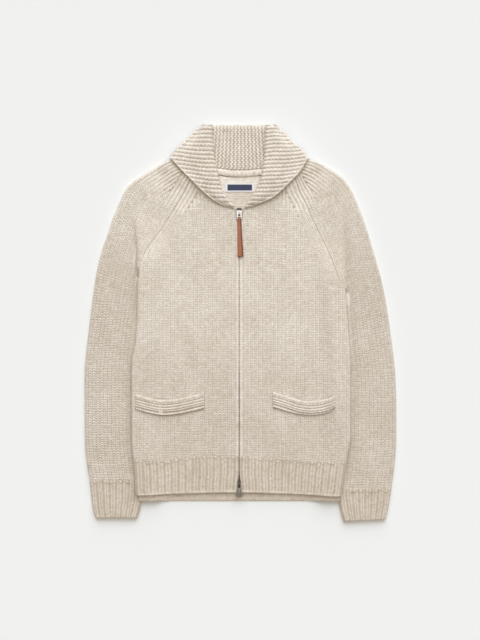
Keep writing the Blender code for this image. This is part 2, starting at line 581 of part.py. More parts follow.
def lapel(side):
    """A lapel: its hidden layer, the roll at its inner edge, and the layer that lies on the front."""
    outer, inner = [], []
    turn = COLLAR_WALL + LAPEL_GAP
    ridges = [k / (2 * LAPEL_RIDGES) for k in range(2, 2 * LAPEL_RIDGES + 1)]
    for number, share in enumerate([0.0, 0.018] + ridges):
        start, end, rolled, sign = lapel_frame(side, share)
        span = np.hypot(*(end - start))
        way = (end - start) / span
        base = float(soft(LAPEL_BASE, start[1]))
        middle = base + turn
        squeeze = LAPEL_TOP_SQUEEZE[min(number, 2)] * (LAPEL_END_SQUEEZE if share == 1 else 1)
        bend = min(turn, 0.35 * span)
        hidden = min(FOLD_BACK, max(span - 2 * ROLL_RADIUS, bend + 1))
        relief = RIDGE_HEIGHT * (number % 2 == 1 and 1 < number < 2 * LAPEL_RIDGES)
        row_out, row_in = [], []

        def place(distance, z, inner_distance, inner_z):
            row_out.append([*(start + way * distance), middle + (z - middle) * squeeze])
            row_in.append([*(start + way * inner_distance), middle + (inner_z - middle) * squeeze])

        place(hidden, base, hidden, base + COLLAR_WALL)
        place(bend, base, bend, base + COLLAR_WALL)
        for angle in (-50, 0, 50):
            c, s = math.cos(math.radians(angle)), math.sin(math.radians(angle))
            out = 1 + (relief / turn if angle >= 0 else 0)
            place(bend - bend * c * out, middle + turn * s * out, bend - LAPEL_GAP * c, middle + LAPEL_GAP * s)
        past_corner = max(0, 1 - (share - CORNER_SHARE) / 0.1)
        edge_r = min(ROLL_RADIUS if rolled else EDGE_ROLL + 3 * past_corner, 0.3 * span)
        distances = [bend + (span - edge_r - bend) * s for s in (0, 0.22, 0.48, 0.76, 1)]
        distances += [span - edge_r * s for s in (0.25, 0.03, 0)]
        for distance in distances:
            x, y = start + way * distance
            rest = float(ground(x, y, on_sleeve=True)) + FLAT + 0.5
            near = 1 - step(distance, hidden + 1, hidden + 1 + 0.75 * (span - hidden - 1))
            inset = span - distance
            lies = rest
            if rolled:
                low = 2 * ROLL_RADIUS - COLLAR_WALL + (rest - 2 * ROLL_RADIUS + COLLAR_WALL) * share / CORNER_SHARE
                lies = low + (max(rest, low) - low) * step(inset, 10, 34)
            under = lies + (base + 2 * turn - COLLAR_WALL - lies) * near
            if not rolled:
                under = max(under, rest)
            full, lean = rounded(inset, edge_r)
            if rolled:
                floor = FALL_LEVEL + (STAND_LEVEL + COLLAR_WALL + 0.5 - FALL_LEVEL) * (
                    1 - step(abs(x - ZIP_X), STAND_HALF + 3, STAND_HALF + 17))
                z = floor + (under + COLLAR_WALL - floor) * full
                shift = min(COLLAR_WALL, edge_r) * lean
                place(distance, z + relief * (full > 0.99), distance - shift, max(z - COLLAR_WALL * full, floor))
            else:
                z = under + COLLAR_WALL - edge_r * (1 - full)
                place(distance, z + relief * (full > 0.99), distance - 0.15 * edge_r * lean, under)
        outer.append(row_out)
        inner.append(row_in)
    outer, inner = settled(outer, inner, (f"front_{side}", f"sleeve_{side}", "collar_back"), first=5)
    wall(f"collar_{side}", outer, inner, WOOL_COLLAR)


def collar_back():
    """The stand up from the neck seam, over the top fold, and the fall that lies under it."""
    half = STAND_COLUMNS * STAND_PITCH / 2
    inside = [(-half + STAND_PITCH * (k + s)) for k in range(STAND_COLUMNS) for s in (0.0, 0.5)] + [half]
    across = np.array([-STAND_HALF, -half - 8] + inside + [half + 8, STAND_HALF]) + ZIP_X
    peak = np.array([0, 0] + [k % 2 for k in range(len(inside))] + [0, 0])
    fold_y = COLLAR_TOP - TOP_DROP * step(np.abs(across - ZIP_X), half, STAND_HALF)
    outer, inner = [], []
    radius = STAND_LEVEL / 2 + COLLAR_WALL / 2
    bottom = neck_line(across)
    for inset, lift in ((0, -2.4), (2.5, 1.3), (BIND_OFF - 3, 1.3), (BIND_OFF, -0.5), (BIND_OFF + 3, 1),
                        (45, 1), (75, 1)):
        y = bottom + inset * (fold_y - radius - bottom) / (COLLAR_TOP - radius - STAND_Y)
        clear = np.minimum(across - soft(LAPEL_INNER["left"], y), soft(LAPEL_INNER["right"], y) - across)
        shows = step(clear, -4, 3)
        raised = lift * shows if inset <= BIND_OFF else RIDGE_HEIGHT * peak * shows
        outer.append(stack(across, y, STAND_LEVEL + COLLAR_WALL + raised))
        inner.append(stack(across, y, STAND_LEVEL))
    for angle in (90, 50, 12, -35, -90):
        c, s = math.cos(math.radians(angle)), math.sin(math.radians(angle))
        small = radius - COLLAR_WALL
        y, z = fold_y - radius, radius
        outer.append(stack(across, y + radius * c, z + radius * s))
        inner.append(stack(across, y + small * c, z + small * s))
    fan = (across - across[0]) / (across[-1] - across[0])
    left = COLLAR_ROLL["left"]
    right = COLLAR_ROLL["right"]
    start_angle = math.atan2(left[-1].y - FALL_INSET - FALL_CENTRE_Y, left[-1].x + FALL_INSET - ZIP_X)
    end_angle = math.atan2(right[-1].y - FALL_INSET - FALL_CENTRE_Y, right[-1].x - FALL_INSET - ZIP_X)
    turn = start_angle + (end_angle - start_angle) * fan
    free = np.stack([ZIP_X + FALL_RADIUS * np.cos(turn), FALL_CENTRE_Y + FALL_RADIUS * np.sin(turn)], -1)
    top = np.stack([across, fold_y - radius], -1)
    left_line = [top[0]] + [Line(p.x + FALL_INSET, p.y - FALL_INSET) for p in left[2:]]
    right_line = [top[-1]] + [Line(p.x - FALL_INSET, p.y - FALL_INSET) for p in right[2:]]
    for share in (0.27, 0.52, 0.77, 1.0):
        west, east = along(left_line, share), along(right_line, share)
        ruled = west + (east - west) * fan[:, None]
        other = top + (free - top) * share
        corners = ((top[0] + (free[0] - top[0]) * share) * (1 - fan[:, None])
                   + (top[-1] + (free[-1] - top[-1]) * share) * fan[:, None])
        place = ruled + other - corners
        outer.append(stack(place[:, 0], place[:, 1], 0.0))
        inner.append(stack(place[:, 0], place[:, 1], COLLAR_WALL))
    wall("collar_back", outer, inner, WOOL_COLLAR)


def welt(side):
    rows = WELT[side]
    left, right = rows[0].x, rows[-1].x
    across = np.linspace(left, right, 9)
    top = soft([(r.x, r.y[0]) for r in rows], across)
    low = soft([(r.x, r.y[1]) for r in rows], across)
    outer, inner = [], []
    heights = [(0, -1.6), (0.07, 0.6)]
    heights += [((k + s) / WELT_RIDGES * 0.9 + 0.1, h) for k in range(WELT_RIDGES)
                for s, h in ((0.25, -0.9), (0.7, 0.3))] + [(1, -1.8)]
    ends = np.where((across == left) | (across == right), -1.2, 0)
    for share, height in heights:
        y = top + (low - top) * share
        base = ground(across, y) + FLAT + SEAM
        outer.append(stack(across, y, base + WELT_WALL + height + ends))
        inner.append(stack(across, y, base))
    wall(f"welt_{side}", *settled(outer, inner, (f"front_{side}",)), WOOL_COLLAR)


def zip_tape(side):
    sign = SIDES[side]
    y = np.linspace(ZIP_BOTTOM, ZIP_TOP + 8, 8)[:, None]
    x = ZIP_X + sign * (CHAIN_WIDTH / 2 + SEAM + np.array([[0, TAPE_WIDTH]]))
    low = ground(x, y) + TAPE_Z
    wall(f"zip_tape_{side}", stack(x, y, low + TAPE_THICK), stack(x, y, low), TAPE, smooth=False)


def zip_chain():
    y = np.linspace(ZIP_BOTTOM + 1, ZIP_TOP - 1, 8)[:, None]
    x = ZIP_X + CHAIN_WIDTH / 2 * np.array([[-1, 1]])
    low = ground(x, y) + CHAIN_Z
    wall("zip_chain", stack(x, y, low + CHAIN_TOP - CHAIN_Z), stack(x, y, low), DARK_STEEL, smooth=False)


def label():
    x0, x1, y0, y1 = LABEL
    x = np.linspace(x0, x1, 7)[None, :]
    y = np.linspace(y0, y1, 5)[:, None]
    low = ground(x, y) + WALL + SEAM
    wall("label", stack(x, y, low + LABEL_THICK), stack(x, y, low), NAVY, smooth=False)


def slab(mesh, outline, low, high):
    """Adds a flat plate with the outline given, between two heights."""
    corners = [mesh.verts.new(((x - ORIGIN_X) * MM, (y - ORIGIN_Y) * MM, low * MM)) for x, y in outline]
    face = mesh.faces.new(corners)
    raised = bmesh.ops.extrude_face_region(mesh, geom=[face])
    moved = [item for item in raised["geom"] if isinstance(item, bmesh.types.BMVert)]
    bmesh.ops.translate(mesh, verts=moved, vec=(0, 0, (high - low) * MM))
    bmesh.ops.recalc_face_normals(mesh, faces=mesh.faces)


def plate(name, outline, low, high, finish=STEEL):
    mesh = bmesh.new()
    slab(mesh, outline, low, high)
    return finish_mesh(name, mesh, finish, smooth=False)


def joined(base, others, operation="UNION"):
    """Joins or cuts other solids and leaves the result as one mesh."""
    for other in others:
        change = base.modifiers.new(operation.lower(), "BOOLEAN")
        change.operation = operation
        change.solver = "EXACT"
        change.object = other
    view = bpy.context.evaluated_depsgraph_get()
    result = bpy.data.meshes.new_from_object(base.evaluated_get(view))
    base.modifiers.clear()
    base.data = result
    for other in others:
        bpy.data.objects.remove(other)
    return base


def rounded_outline(width, length, centre_x, centre_y, corner, per_corner=4):
    points = []
    for sx, sy, start in ((1, 1, 0), (-1, 1, 90), (-1, -1, 180), (1, -1, 270)):
        for k in range(per_corner + 1):
            angle = math.radians(start + 90 * k / per_corner)
            points.append((centre_x + sx * (width / 2 - corner) + corner * math.cos(angle),
                           centre_y + sy * (length / 2 - corner) + corner * math.sin(angle)))
    return points


def slider(name, pivot_y, toward):
    """The slider's body and the bridge that the pull hangs from; toward is the pull's way along y."""
    top = PIVOT_Z - PULL_THICK / 2 - PULL_CLEAR
    middle = pivot_y - toward * 1.0
    body = plate(name, rounded_outline(SLIDER_WIDTH, SLIDER_LENGTH, ZIP_X, middle, 3.5), CHAIN_TOP + SEAM, top)
    feet = [plate(f"{name}_foot", rounded_outline(2.6, 1.8, ZIP_X, pivot_y + way * 2.9, 0.4, 1), top - 1,
                  top + 4.0) for way in (-1, 1)]
    bar = plate(f"{name}_bar", rounded_outline(2.6, 7.6, ZIP_X, pivot_y, 0.4, 1), top + 2.9, top + 4.3)
    joined(body, feet + [bar])


def hung(piece, pivot_y):
    """Moves a piece's origin onto its hinge axis."""
    pivot = ((ZIP_X - ORIGIN_X) * MM, (pivot_y - ORIGIN_Y) * MM, PIVOT_Z * MM)
    for vertex in piece.data.vertices:
        vertex.co = [c - p for c, p in zip(vertex.co, pivot)]
    piece.location = pivot


def pull_top():
    low, high = PIVOT_Z - PULL_THICK / 2, PIVOT_Z + PULL_THICK / 2
    end = LEATHER_START + 1.0
    length = PIVOT_TOP_Y + 1.0 - end
    frame = plate("pull_top", rounded_outline(10.5, length, ZIP_X, end + length / 2, 2.4), low, high)
    slot_length = 8.6
    slot = plate("slot", rounded_outline(4.2, slot_length, ZIP_X, PIVOT_TOP_Y - 0.8 - slot_length / 2, 0.8, 2),
                 low - 1, high + 1)
    hole = plate("hole", rounded_outline(7.2, 2.9, ZIP_X, end + 1.5 + 1.45, 0.8, 2), low - 1, high + 1)
    hung(joined(frame, [slot, hole], "DIFFERENCE"), PIVOT_TOP_Y)


def pull_leather():
    """A strip of leather folded round the pull's end bar, its two ends lying on each other."""
    bar_y = LEATHER_START + 1.0 + 0.75
    bar = 1.35
    path = []
    for y, gap in ((LEATHER_END, 0.15), (LEATHER_END + 20, 0.15), (LEATHER_START - 14, 0.15),
                   (LEATHER_START - 7, 0.5), (bar_y - 1.2, bar)):
        path.append((y, -gap, -1.0, 0.0))
    for angle in (-75, -45, -15, 15, 45, 75):
        c, s = math.cos(math.radians(angle)), math.sin(math.radians(angle))
        path.append((bar_y + bar * c, bar * s, s, c))
    path += [(y, -z, -dz, dy) for y, z, dz, dy in path[:5][::-1]]
    outer, inner = [], []
    for y, z, up, ahead in path:
        width = float(np.interp(y, [LEATHER_END, LEATHER_START - 8, LEATHER_START, bar_y + 2],
                                [11.6, 9.2, 6.6, 6.2]))
        lean = float(np.interp(y, [LEATHER_END, LEATHER_START], [1.6, 0.0]))
        x = ZIP_X + lean + width * np.array([-0.5, -0.42, 0.42, 0.5])
        inner.append(stack(x, y, PIVOT_Z + z))
        thin = np.array([0.75, 1, 1, 0.75])
        outer.append(stack(x, y + ahead * LEATHER_THICK * thin, PIVOT_Z + z + up * LEATHER_THICK * thin))
    made = wall("pull_leather", outer, inner, LEATHER, smooth=False)
    hung(made, PIVOT_TOP_Y)


def pull_bottom():
    low, high = PIVOT_Z - PULL_THICK / 2, PIVOT_Z + PULL_THICK / 2
    top_y = PIVOT_BOTTOM_Y + 1.0
    profile = ((0, 3.6), (6, 4.0), (12, 4.6), (17, 5.2), (21, 6.3), (24.5, 7.4), (26.5, 6.6), (27.5, 4.0))
    outline = [(ZIP_X + half, top_y - down) for down, half in profile]
    outline += [(ZIP_X - half, top_y - down) for down, half in profile[::-1]]
    tab = plate("pull_bottom", outline, low, high)
    slot = plate("slot", rounded_outline(4.2, 8.0, ZIP_X, PIVOT_BOTTOM_Y - 0.8 - 4.0, 0.8, 2), low - 1, high + 1)
    joined(tab, [slot], "DIFFERENCE")
    boss = plate("boss", rounded_outline(6.4, 11, ZIP_X, top_y - 17.5, 2.6, 3), high - 0.4, high + 1.0)
    hung(joined(tab, [boss]), PIVOT_BOTTOM_Y)


collar_back()
back()
hem_back()
for name in SIDES:
    front(name)
    hem_front(name)
    sleeve(name)
    cuff(name)
    lapel(name)
    welt(name)
    zip_tape(name)
zip_chain()
label()
slider("slider_top", PIVOT_TOP_Y, -1)
slider("slider_bottom", PIVOT_BOTTOM_Y, -1)
pull_top()
pull_leather()
pull_bottom()
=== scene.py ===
# %% [markdown]
# # A chunky shawl collar cardigan, laid flat
# The cardigan lies on a pale surface with its front up. Its walls, edges and seams were measured
# before, in the imported frame, and this lesson dresses that frame in knitting.
# The frame is loaded first, and its box is kept: the board is laid at its floor.

# %% Load the frame
import math

import bmesh
import bpy
import numpy as np
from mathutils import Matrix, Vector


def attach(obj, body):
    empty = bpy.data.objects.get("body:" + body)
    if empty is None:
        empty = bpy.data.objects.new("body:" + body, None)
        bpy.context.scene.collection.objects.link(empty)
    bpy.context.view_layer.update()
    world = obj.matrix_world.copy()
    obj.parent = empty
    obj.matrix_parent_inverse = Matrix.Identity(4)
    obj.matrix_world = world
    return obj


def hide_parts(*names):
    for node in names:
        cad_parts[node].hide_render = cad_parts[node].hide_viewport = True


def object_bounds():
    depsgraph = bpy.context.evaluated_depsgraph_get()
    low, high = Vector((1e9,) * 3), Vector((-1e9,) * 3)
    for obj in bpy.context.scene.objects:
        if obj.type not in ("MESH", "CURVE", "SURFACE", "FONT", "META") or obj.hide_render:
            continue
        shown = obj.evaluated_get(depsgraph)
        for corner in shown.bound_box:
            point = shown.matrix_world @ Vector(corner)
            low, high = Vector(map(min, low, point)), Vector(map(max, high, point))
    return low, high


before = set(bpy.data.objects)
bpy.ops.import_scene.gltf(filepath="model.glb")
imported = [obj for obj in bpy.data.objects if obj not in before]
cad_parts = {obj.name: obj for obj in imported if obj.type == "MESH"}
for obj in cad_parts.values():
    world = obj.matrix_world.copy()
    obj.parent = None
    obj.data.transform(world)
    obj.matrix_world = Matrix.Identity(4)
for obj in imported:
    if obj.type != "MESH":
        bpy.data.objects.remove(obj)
cad_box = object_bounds()
print("the frame's box is", [[round(v, 4) for v in corner] for corner in cad_box])

# %% [markdown]
# ## Measures
# Knitting is made of repeats, so its look follows from two lengths: how wide a column of stitches
# is and how high a row is. They were counted on the real cloth: 7.6 mm and 4.7 mm. All tables are in
# millimetres, and x runs across, y from the hem to the collar and z up from the surface.

# %% Sizes that the pieces share
MM = 0.001
ORIGIN = np.array([0.5, -0.2, 0.0])     # middle of the garment's outline in the tables' millimetres
ZIP_X = -2.0
COLUMN, ROW = 7.6, 4.7                  # one stitch of the body
PER_COLUMN, PER_ROW = 6, 4              # mesh faces to a stitch
SEAM = 0.3
WALL, COLLAR_WALL, LAYER_GAP = 4.5, 6.0, 1.5
FLAT = 2 * WALL + LAYER_GAP             # two layers on each other
ROLL = FLAT / 2                         # radius of a folded side
SEAM_ROLL = 1.2
SIDES = {"left": -1, "right": 1}
print("one stitch is", COLUMN, "by", ROW, "mm, in", PER_COLUMN * PER_ROW, "faces")

# %% Tables of the outline
BODY_EDGE = {   # (y, x) from the hem corner to the underarm, then the sleeve's fold above it
    "left": ((-345, -203), (-334, -209), (-294, -211), (-254, -215), (-224, -217), (-84, -217),
             (-34, -208.5), (6, -205.5), (66, -205), (114, -201), (146, -200.5), (176, -202.5),
             (202, -206.5), (216, -216), (240, -235)),
    "right": ((-347, 199), (-334, 202.5), (-294, 208.5), (-254, 215), (-224, 220.5), (-84, 220.5),
              (-34, 217), (6, 214), (40, 211.5), (72, 208), (106, 206), (146, 203.5), (190, 201),
              (226, 198), (240, 197)),
}
UNDERARM_Y = {"left": 114, "right": 72}
RAGLAN = {      # (y, x) of the seam between body and sleeve
    "left": ((114, -201), (140, -190), (156, -180), (170, -170), (186, -158), (202, -148), (214, -140),
             (230, -130), (246, -120), (260, -112), (284, -100), (310, -88)),
    "right": ((72, 208), (86, 197), (118, 186), (146, 174), (174, 160), (196, 150), (216, 140),
              (236, 132), (258, 120), (272, 115), (310, 102)),
}
OPENING = ((-346, 4.6), (-326, 3.0), (-312, 2.0), (-298, 1.6), (190, 1.6), (208, 5), (222, 9), (234, 24),
           (246, 45), (266, 60), (290, 71), (310, 74))     # (y, half width) along the zip and neck
SLEEVE = {      # (y of the inner end, x and y of the outer fold) of sections along a sleeve
    "left": ((310, -88, 340), (288, -112, 333), (268, -140, 326), (250, -166, 312), (232, -190, 298),
             (215, -213, 283), (195, -229, 266), (175, -242, 238), (155, -254, 210), (135, -264, 179),
             (114, -273, 154), (102, -277, 140), (84, -283, 118), (50, -292, 66), (5, -300, 2),
             (-45, -306, -48), (-106, -310.4, -106), (-180, -310.4, -180), (-240, -309.6, -240),
             (-280, -306, -280), (-314, -300.4, -314)),
    "right": ((310, 92, 338), (288, 114, 332), (268, 136, 327.5), (248, 160, 319), (226, 182, 306),
              (204, 203, 291), (182, 218, 272), (160, 230, 248), (137, 242, 218), (115, 252, 190),
              (93, 261, 160), (72, 270, 130), (60, 273, 118), (44, 279, 98), (0, 290, 46),
              (-45, 300, -20), (-110, 309.6, -106), (-180, 311.4, -180), (-240, 311.4, -236),
              (-290, 307, -290), (-332, 301.6, -332)),
}
TUCK = {        # (y, x) of a sleeve's inner edge, under the body
    "left": ((-348, -194.5), (-314, -192.5), (-254, -194.5), (-154, -195.5), (-54, -188), (0, -189),
             (50, -193), (84, -197), (102, -202.3), (114, -201)),
    "right": ((-348, 195.5), (-332, 193.5), (-274, 193.5), (-224, 198.5), (-84, 198.5), (-30, 197),
              (10, 200), (44, 205), (60, 209.2), (72, 208)),
}
CUFF = {        # inner and outer edge of each cuff, from its top to its bottom edge
    "left": (((-192.5, -313.9), (-194.5, -346), (-200, -372), (-205, -389)),
             ((-300.4, -313.9), (-297, -346), (-294, -372), (-289, -389))),
    "right": (((193.5, -331.9), (195.5, -348), (200, -374), (206, -396)),
              ((301.6, -331.9), (299.5, -346), (296, -368), (290.5, -392))),
}
HEM_TOP = ((-215, -272), (-160, -276), (-110, -269), (-65, -265), (-2, -266), (50, -270), (90, -275),
           (130, -276), (220, -276))
HEM_BOTTOM = ((-204, -345), (-140, -342.2), (-4, -339.2), (80, -341.2), (200, -347))
BACK_LOW, BACK_HEM_BOTTOM, FRONT_LOW = -272, -354.5, -270
LAPEL_INNER = {     # (y, x) of the rolled inner edge of each lapel
    "left": ((232, -10), (240, -18), (266, -36), (290, -42), (316, -48), (346, -53), (396, -55.5)),
    "right": ((232, 8), (246, 18), (266, 31), (292, 42), (316, 45.5), (346, 48.5), (396, 50.5)),
}
COLLAR_ROLL = {     # the collar's rolled outer side, down to the shoulder
    "left": ((-74, 394.5), (-90, 387), (-100, 377), (-110, 366.5), (-120, 356), (-132, 346),
             (-138, 337), (-140.5, 329)),
    "right": ((71, 394.5), (83, 387), (93, 377), (102, 366.5), (112, 356), (122, 349.5), (130, 340),
              (137, 329)),
}
COLLAR_EDGE = {     # its free edge, from the shoulder to the zip
    "left": ((-140.5, 329), (-120, 306), (-100, 286), (-80, 266), (-60, 249), (-40, 236.5), (-28, 232)),
    "right": ((137, 329), (126, 310), (114, 294), (100, 280), (86, 266), (66, 250), (44, 240), (26, 233)),
}
COLLAR_TOP, STAND_Y, STAND_LEVEL = 395.6, 291, 7.5    # top fold, neck seam behind and its height
FALL_CENTRE_Y, FALL_RADIUS, FALL_LEVEL, FALL_CLEAR, FALL_RAMP = 470, 198, 6.8, 8, 42
LIFT, LIFT_START, SLEEVE_DROP, TUCK_DEPTH, LIFT_RAMP = FLAT + SEAM, 118, 24, 25, 62
FOLD_START, FOLD_RAMP = 2, 9
print("tables for", len(BODY_EDGE["left"]) + len(RAGLAN["left"]), "points of the body's left side")

# %% [markdown]
# ## Smooth curves
# A table's rows are few, so a curve is drawn through them. A monotone cubic is used: an ordinary
# spline swings past its points, which shows as a wobble on a straight side seam.

# %% Curves through tables


def soft(table, at, key=0, value=1):
    """A smooth curve through a table's rows that never swings past them."""
    rows = sorted((row[key], row[value]) for row in table)
    xs, ys = np.array(rows, float).T
    gaps = np.diff(xs)
    slopes = np.diff(ys) / gaps
    tangents = np.zeros(len(xs))
    tangents[0], tangents[-1] = slopes[0], slopes[-1]
    same = slopes[:-1] * slopes[1:] > 0
    pair = slopes[:-1] + slopes[1:]
    tangents[1:-1] = np.where(same, 2 * slopes[:-1] * slopes[1:] / np.where(same, pair, 1), 0)
    at = np.clip(np.asarray(at, float), xs[0], xs[-1])
    i = np.clip(np.searchsorted(xs, at) - 1, 0, len(gaps) - 1)
    t = (at - xs[i]) / gaps[i]
    return ((1 + 2 * t) * (1 - t) ** 2 * ys[i] + t * (1 - t) ** 2 * gaps[i] * tangents[i]
            + t * t * (3 - 2 * t) * ys[i + 1] + t * t * (t - 1) * gaps[i] * tangents[i + 1])


def along(points, share):
    """Points at shares of a path's length, on a smooth curve through its corners."""
    path = np.array(points, float)
    run = np.concatenate([[0], np.cumsum(np.hypot(*np.diff(path, axis=0).T))])
    run /= run[-1]
    return np.stack([soft(list(zip(run, path[:, k])), share) for k in (0, 1)], axis=-1)


def step(value, low, high):
    t = np.clip((np.asarray(value, float) - low) / (high - low), 0, 1)
    return t * t * (3 - 2 * t)


def rounded(inset, radius):
    """How full a rounded edge is at an inset from it, from 0 at the edge to 1."""
    return np.sqrt(1 - (1 - np.clip(inset / radius, 0, 1)) ** 2)


def cycle(turns):
    """A cosine that repeats once to each whole turn."""
    return np.cos(2 * math.pi * turns)


print("the right side seam is at x =", round(float(soft(BODY_EDGE["right"], -100)), 1), "mm at y = -100")

# %% [markdown]
# ## What lies under what
# The sleeves lie flat and the body's sides lie on them, and the collar's fall lies under the neck.
# One field gives the height of the ground under the body at every place, so that every layer above
# follows it. A few broad, very low waves in it keep a laid garment from looking ironed.

# %% The ground under the lower layer


def ground(x, y, on_sleeve=False):
    """Height under the lower layer: the collar's fall, or a sleeve's tucked edge."""
    reach = np.hypot(x - ZIP_X, y - FALL_CENTRE_Y) - FALL_RADIUS
    height = FALL_LEVEL * (1 - step(reach, FALL_CLEAR, FALL_RAMP))
    for side, sign in SIDES.items():
        underarm = UNDERARM_Y[side]
        inside = sign * (soft(BODY_EDGE[side], y) - x)
        lift = LIFT * step(-y, -underarm - LIFT_START, -underarm - 6)
        if on_sleeve:
            lift = lift * step(y, underarm - SLEEVE_DROP, underarm)
        within = 1 - step(inside, TUCK_DEPTH, LIFT_RAMP)
        beyond = 1 - step(-inside, FOLD_START, FOLD_START + FOLD_RAMP)
        height = height + lift * np.where(inside > 0, within, beyond)
    return height


def waves(x, y):
    """Broad low waves of a laid cloth, in millimetres."""
    return (0.9 * np.sin(x / 47 + 0.9 * np.sin(y / 83 + 1.1)) * np.sin(y / 61 + 0.7)
            + 0.45 * np.sin(x / 23 + y / 39 + 2.1 * np.sin(y / 120)))


print("the body's side lies", LIFT, "mm up, on the sleeve")

# %% [markdown]
# ## Stitches
# A knitted stitch seen from its right side is a V: two legs of yarn that lean outwards as they rise,
# each a soft round strand with a groove beside it. Modelling each loop of yarn as a tube would take
# millions of faces, so each stitch is a relief of 24 faces whose heights follow such a V.
# Seen from its wrong side the same cloth is rows of small arcs, and garter stitch is ridges of arcs.
# The height of the yarn, from 0 in a groove to 1 on its crown, is kept on every point, because the
# wool's material paints shade into the grooves with it.

# %% Stitch patterns
ROW_DRIFT, COLUMN_DRIFT = 0.22, 0.035   # how far uneven tension moves a stitch, in rows and columns
LEG_RISE = 0.8                          # rows that a leg rises from the column's middle to its side


def uneven(cu, cv, seed=0.0):
    """Slow drift of hand-like tension, as small shifts of the stitch's place."""
    across = np.sin(cu * 1.7 + 1.3 * np.sin(cv * 0.61 + seed))
    upwards = np.sin(cv * 1.13 + 2.1 * np.sin(cu * 0.37 + seed))
    return 0.5 * (across + upwards)


def vee(cu, cv):
    """Right side of the knitting. cu counts columns and cv counts rows."""
    cv = cv + ROW_DRIFT * uneven(cu, cv)
    cu = cu + COLUMN_DRIFT * uneven(cv, cu, 1.9)
    leg = np.abs(2 * (cu % 1) - 1)          # 0 in the column's middle, 1 at its sides
    strand = np.sqrt(np.clip(1 - (2 * leg - 1) ** 2, 0, 1))
    between_legs = 0.4 * (1 - leg) + 0.12
    beside_column = np.sqrt(np.clip(4.5 * (1 - leg), 0.1, 1))
    rise = 0.52 + 0.48 * cycle(cv - LEG_RISE * leg)
    return np.maximum(strand, between_legs) * beside_column * rise


def arcs(cu, cv):
    """Wrong side of the knitting: rows of interlocking arcs."""
    row = 0.5 + 0.5 * cycle(cv + 0.2 * cycle(cu))
    return row * (0.8 + 0.2 * cycle(2 * cu))


def garter(cu, cv):
    """Garter stitch: one ridge of arcs to each step of cv."""
    ridge = np.sqrt(0.5 + 0.5 * cycle(cv + 0.07 * cycle(cu)))
    bump = 0.84 + 0.16 * cycle(cu + 0.5 * np.floor(cv + 0.5))
    link = 0.5 * np.clip(cycle(cu + 0.5 * np.floor(cv)), 0, 1) ** 2
    return np.maximum(ridge * bump, link)


def zigzag(cu, cv):
    """Garter stitch seen along its ridges, as upright lines that swing from side to side."""
    swing = 0.2 * (2 * np.abs(2 * (cv % 1) - 1) - 1)
    line = 0.5 + 0.5 * cycle(cu + swing)
    return np.sqrt(line) * (0.84 + 0.16 * cycle(2 * cv))


def rib(cu, columns=2, purl=0.2):
    """Shape of one rib to each step of cu, and the column of stitches that a point lies in."""
    place = cu % 1
    low, high = purl / 2, 1 - purl / 2
    body = step(place, low - 0.1, low + 0.1) * (1 - step(place, high - 0.1, high + 0.1))
    return body, (place - low) / (high - low) * columns


print("a stitch's crown reaches", round(float(vee(np.array(0.25), np.array(0.475)).max()), 2))

# %% [markdown]
# ## Colours and nodes
# Colours are written as the hex values that a colour picker shows. Blender mixes light linearly, so
# one function turns them. Another adds a node with its settings and its links, which keeps each
# material's recipe short enough to read.

# %% Colour and node helpers


def colour(hex_value):
    """Linear colour of an sRGB hex value."""
    parts = [int(hex_value[i:i + 2], 16) / 255 for i in (1, 3, 5)]
    return [*(p / 12.92 if p <= 0.04045 else ((p + 0.055) / 1.055) ** 2.4 for p in parts), 1.0]


def node(tree, kind, links=(), **settings):
    """Adds a node. links are (input, other node, its output); settings are inputs or properties."""
    made = tree.nodes.new(kind)
    for name, value in settings.items():
        if hasattr(made, name):
            setattr(made, name, value)
        else:
            made.inputs[name.replace("_", " ")].default_value = value
    for target, source, output in links:
        tree.links.new(source.outputs[output], made.inputs[target])
    return made


def new_material(name):
    made = bpy.data.materials.new(name)
    made.use_nodes = True
    made.node_tree.nodes.clear()
    return made, made.node_tree


print("the wool's middle colour is", [round(v, 3) for v in colour("#DBCFC0")[:3]], "in linear light")

# %% [markdown]
# ## Wool
# The yarn is a marl: cream and fawn fibres carded together before spinning. So its colour varies
# along the strand, in streaks about 1 mm wide and a stitch or two long, with paler and darker
# stretches of a few centimetres where the blend was uneven. Undyed wool is matt with a faint bloom
# from loose fibres at grazing angles, which the sheen gives. A groove gets little light, so the
# yarn's height darkens it a little beyond its own shadow, as painted shade; the cloth is also
# painted darker towards the hem and on the lower sleeves, as shade.
# Fibres are far too fine to model: they are a bump of 0.5 mm grain, as coarse as the picture shows.

# %% Marled wool
LONG_STREAKS, SHORT_STREAKS = (85, 3.7, 1), (260, 7.3, 1)   # to a metre of row, and to a strand
BROAD_SCALE, BROAD_SHARE = 14.0, 0.45       # patches of a few centimetres
# the second colour is the tint of the painted shade towards the hem and on the sleeves
FIBRE_SCALE, PAINTED_SHADE_TINT = 1900.0, "#EEEBE8"


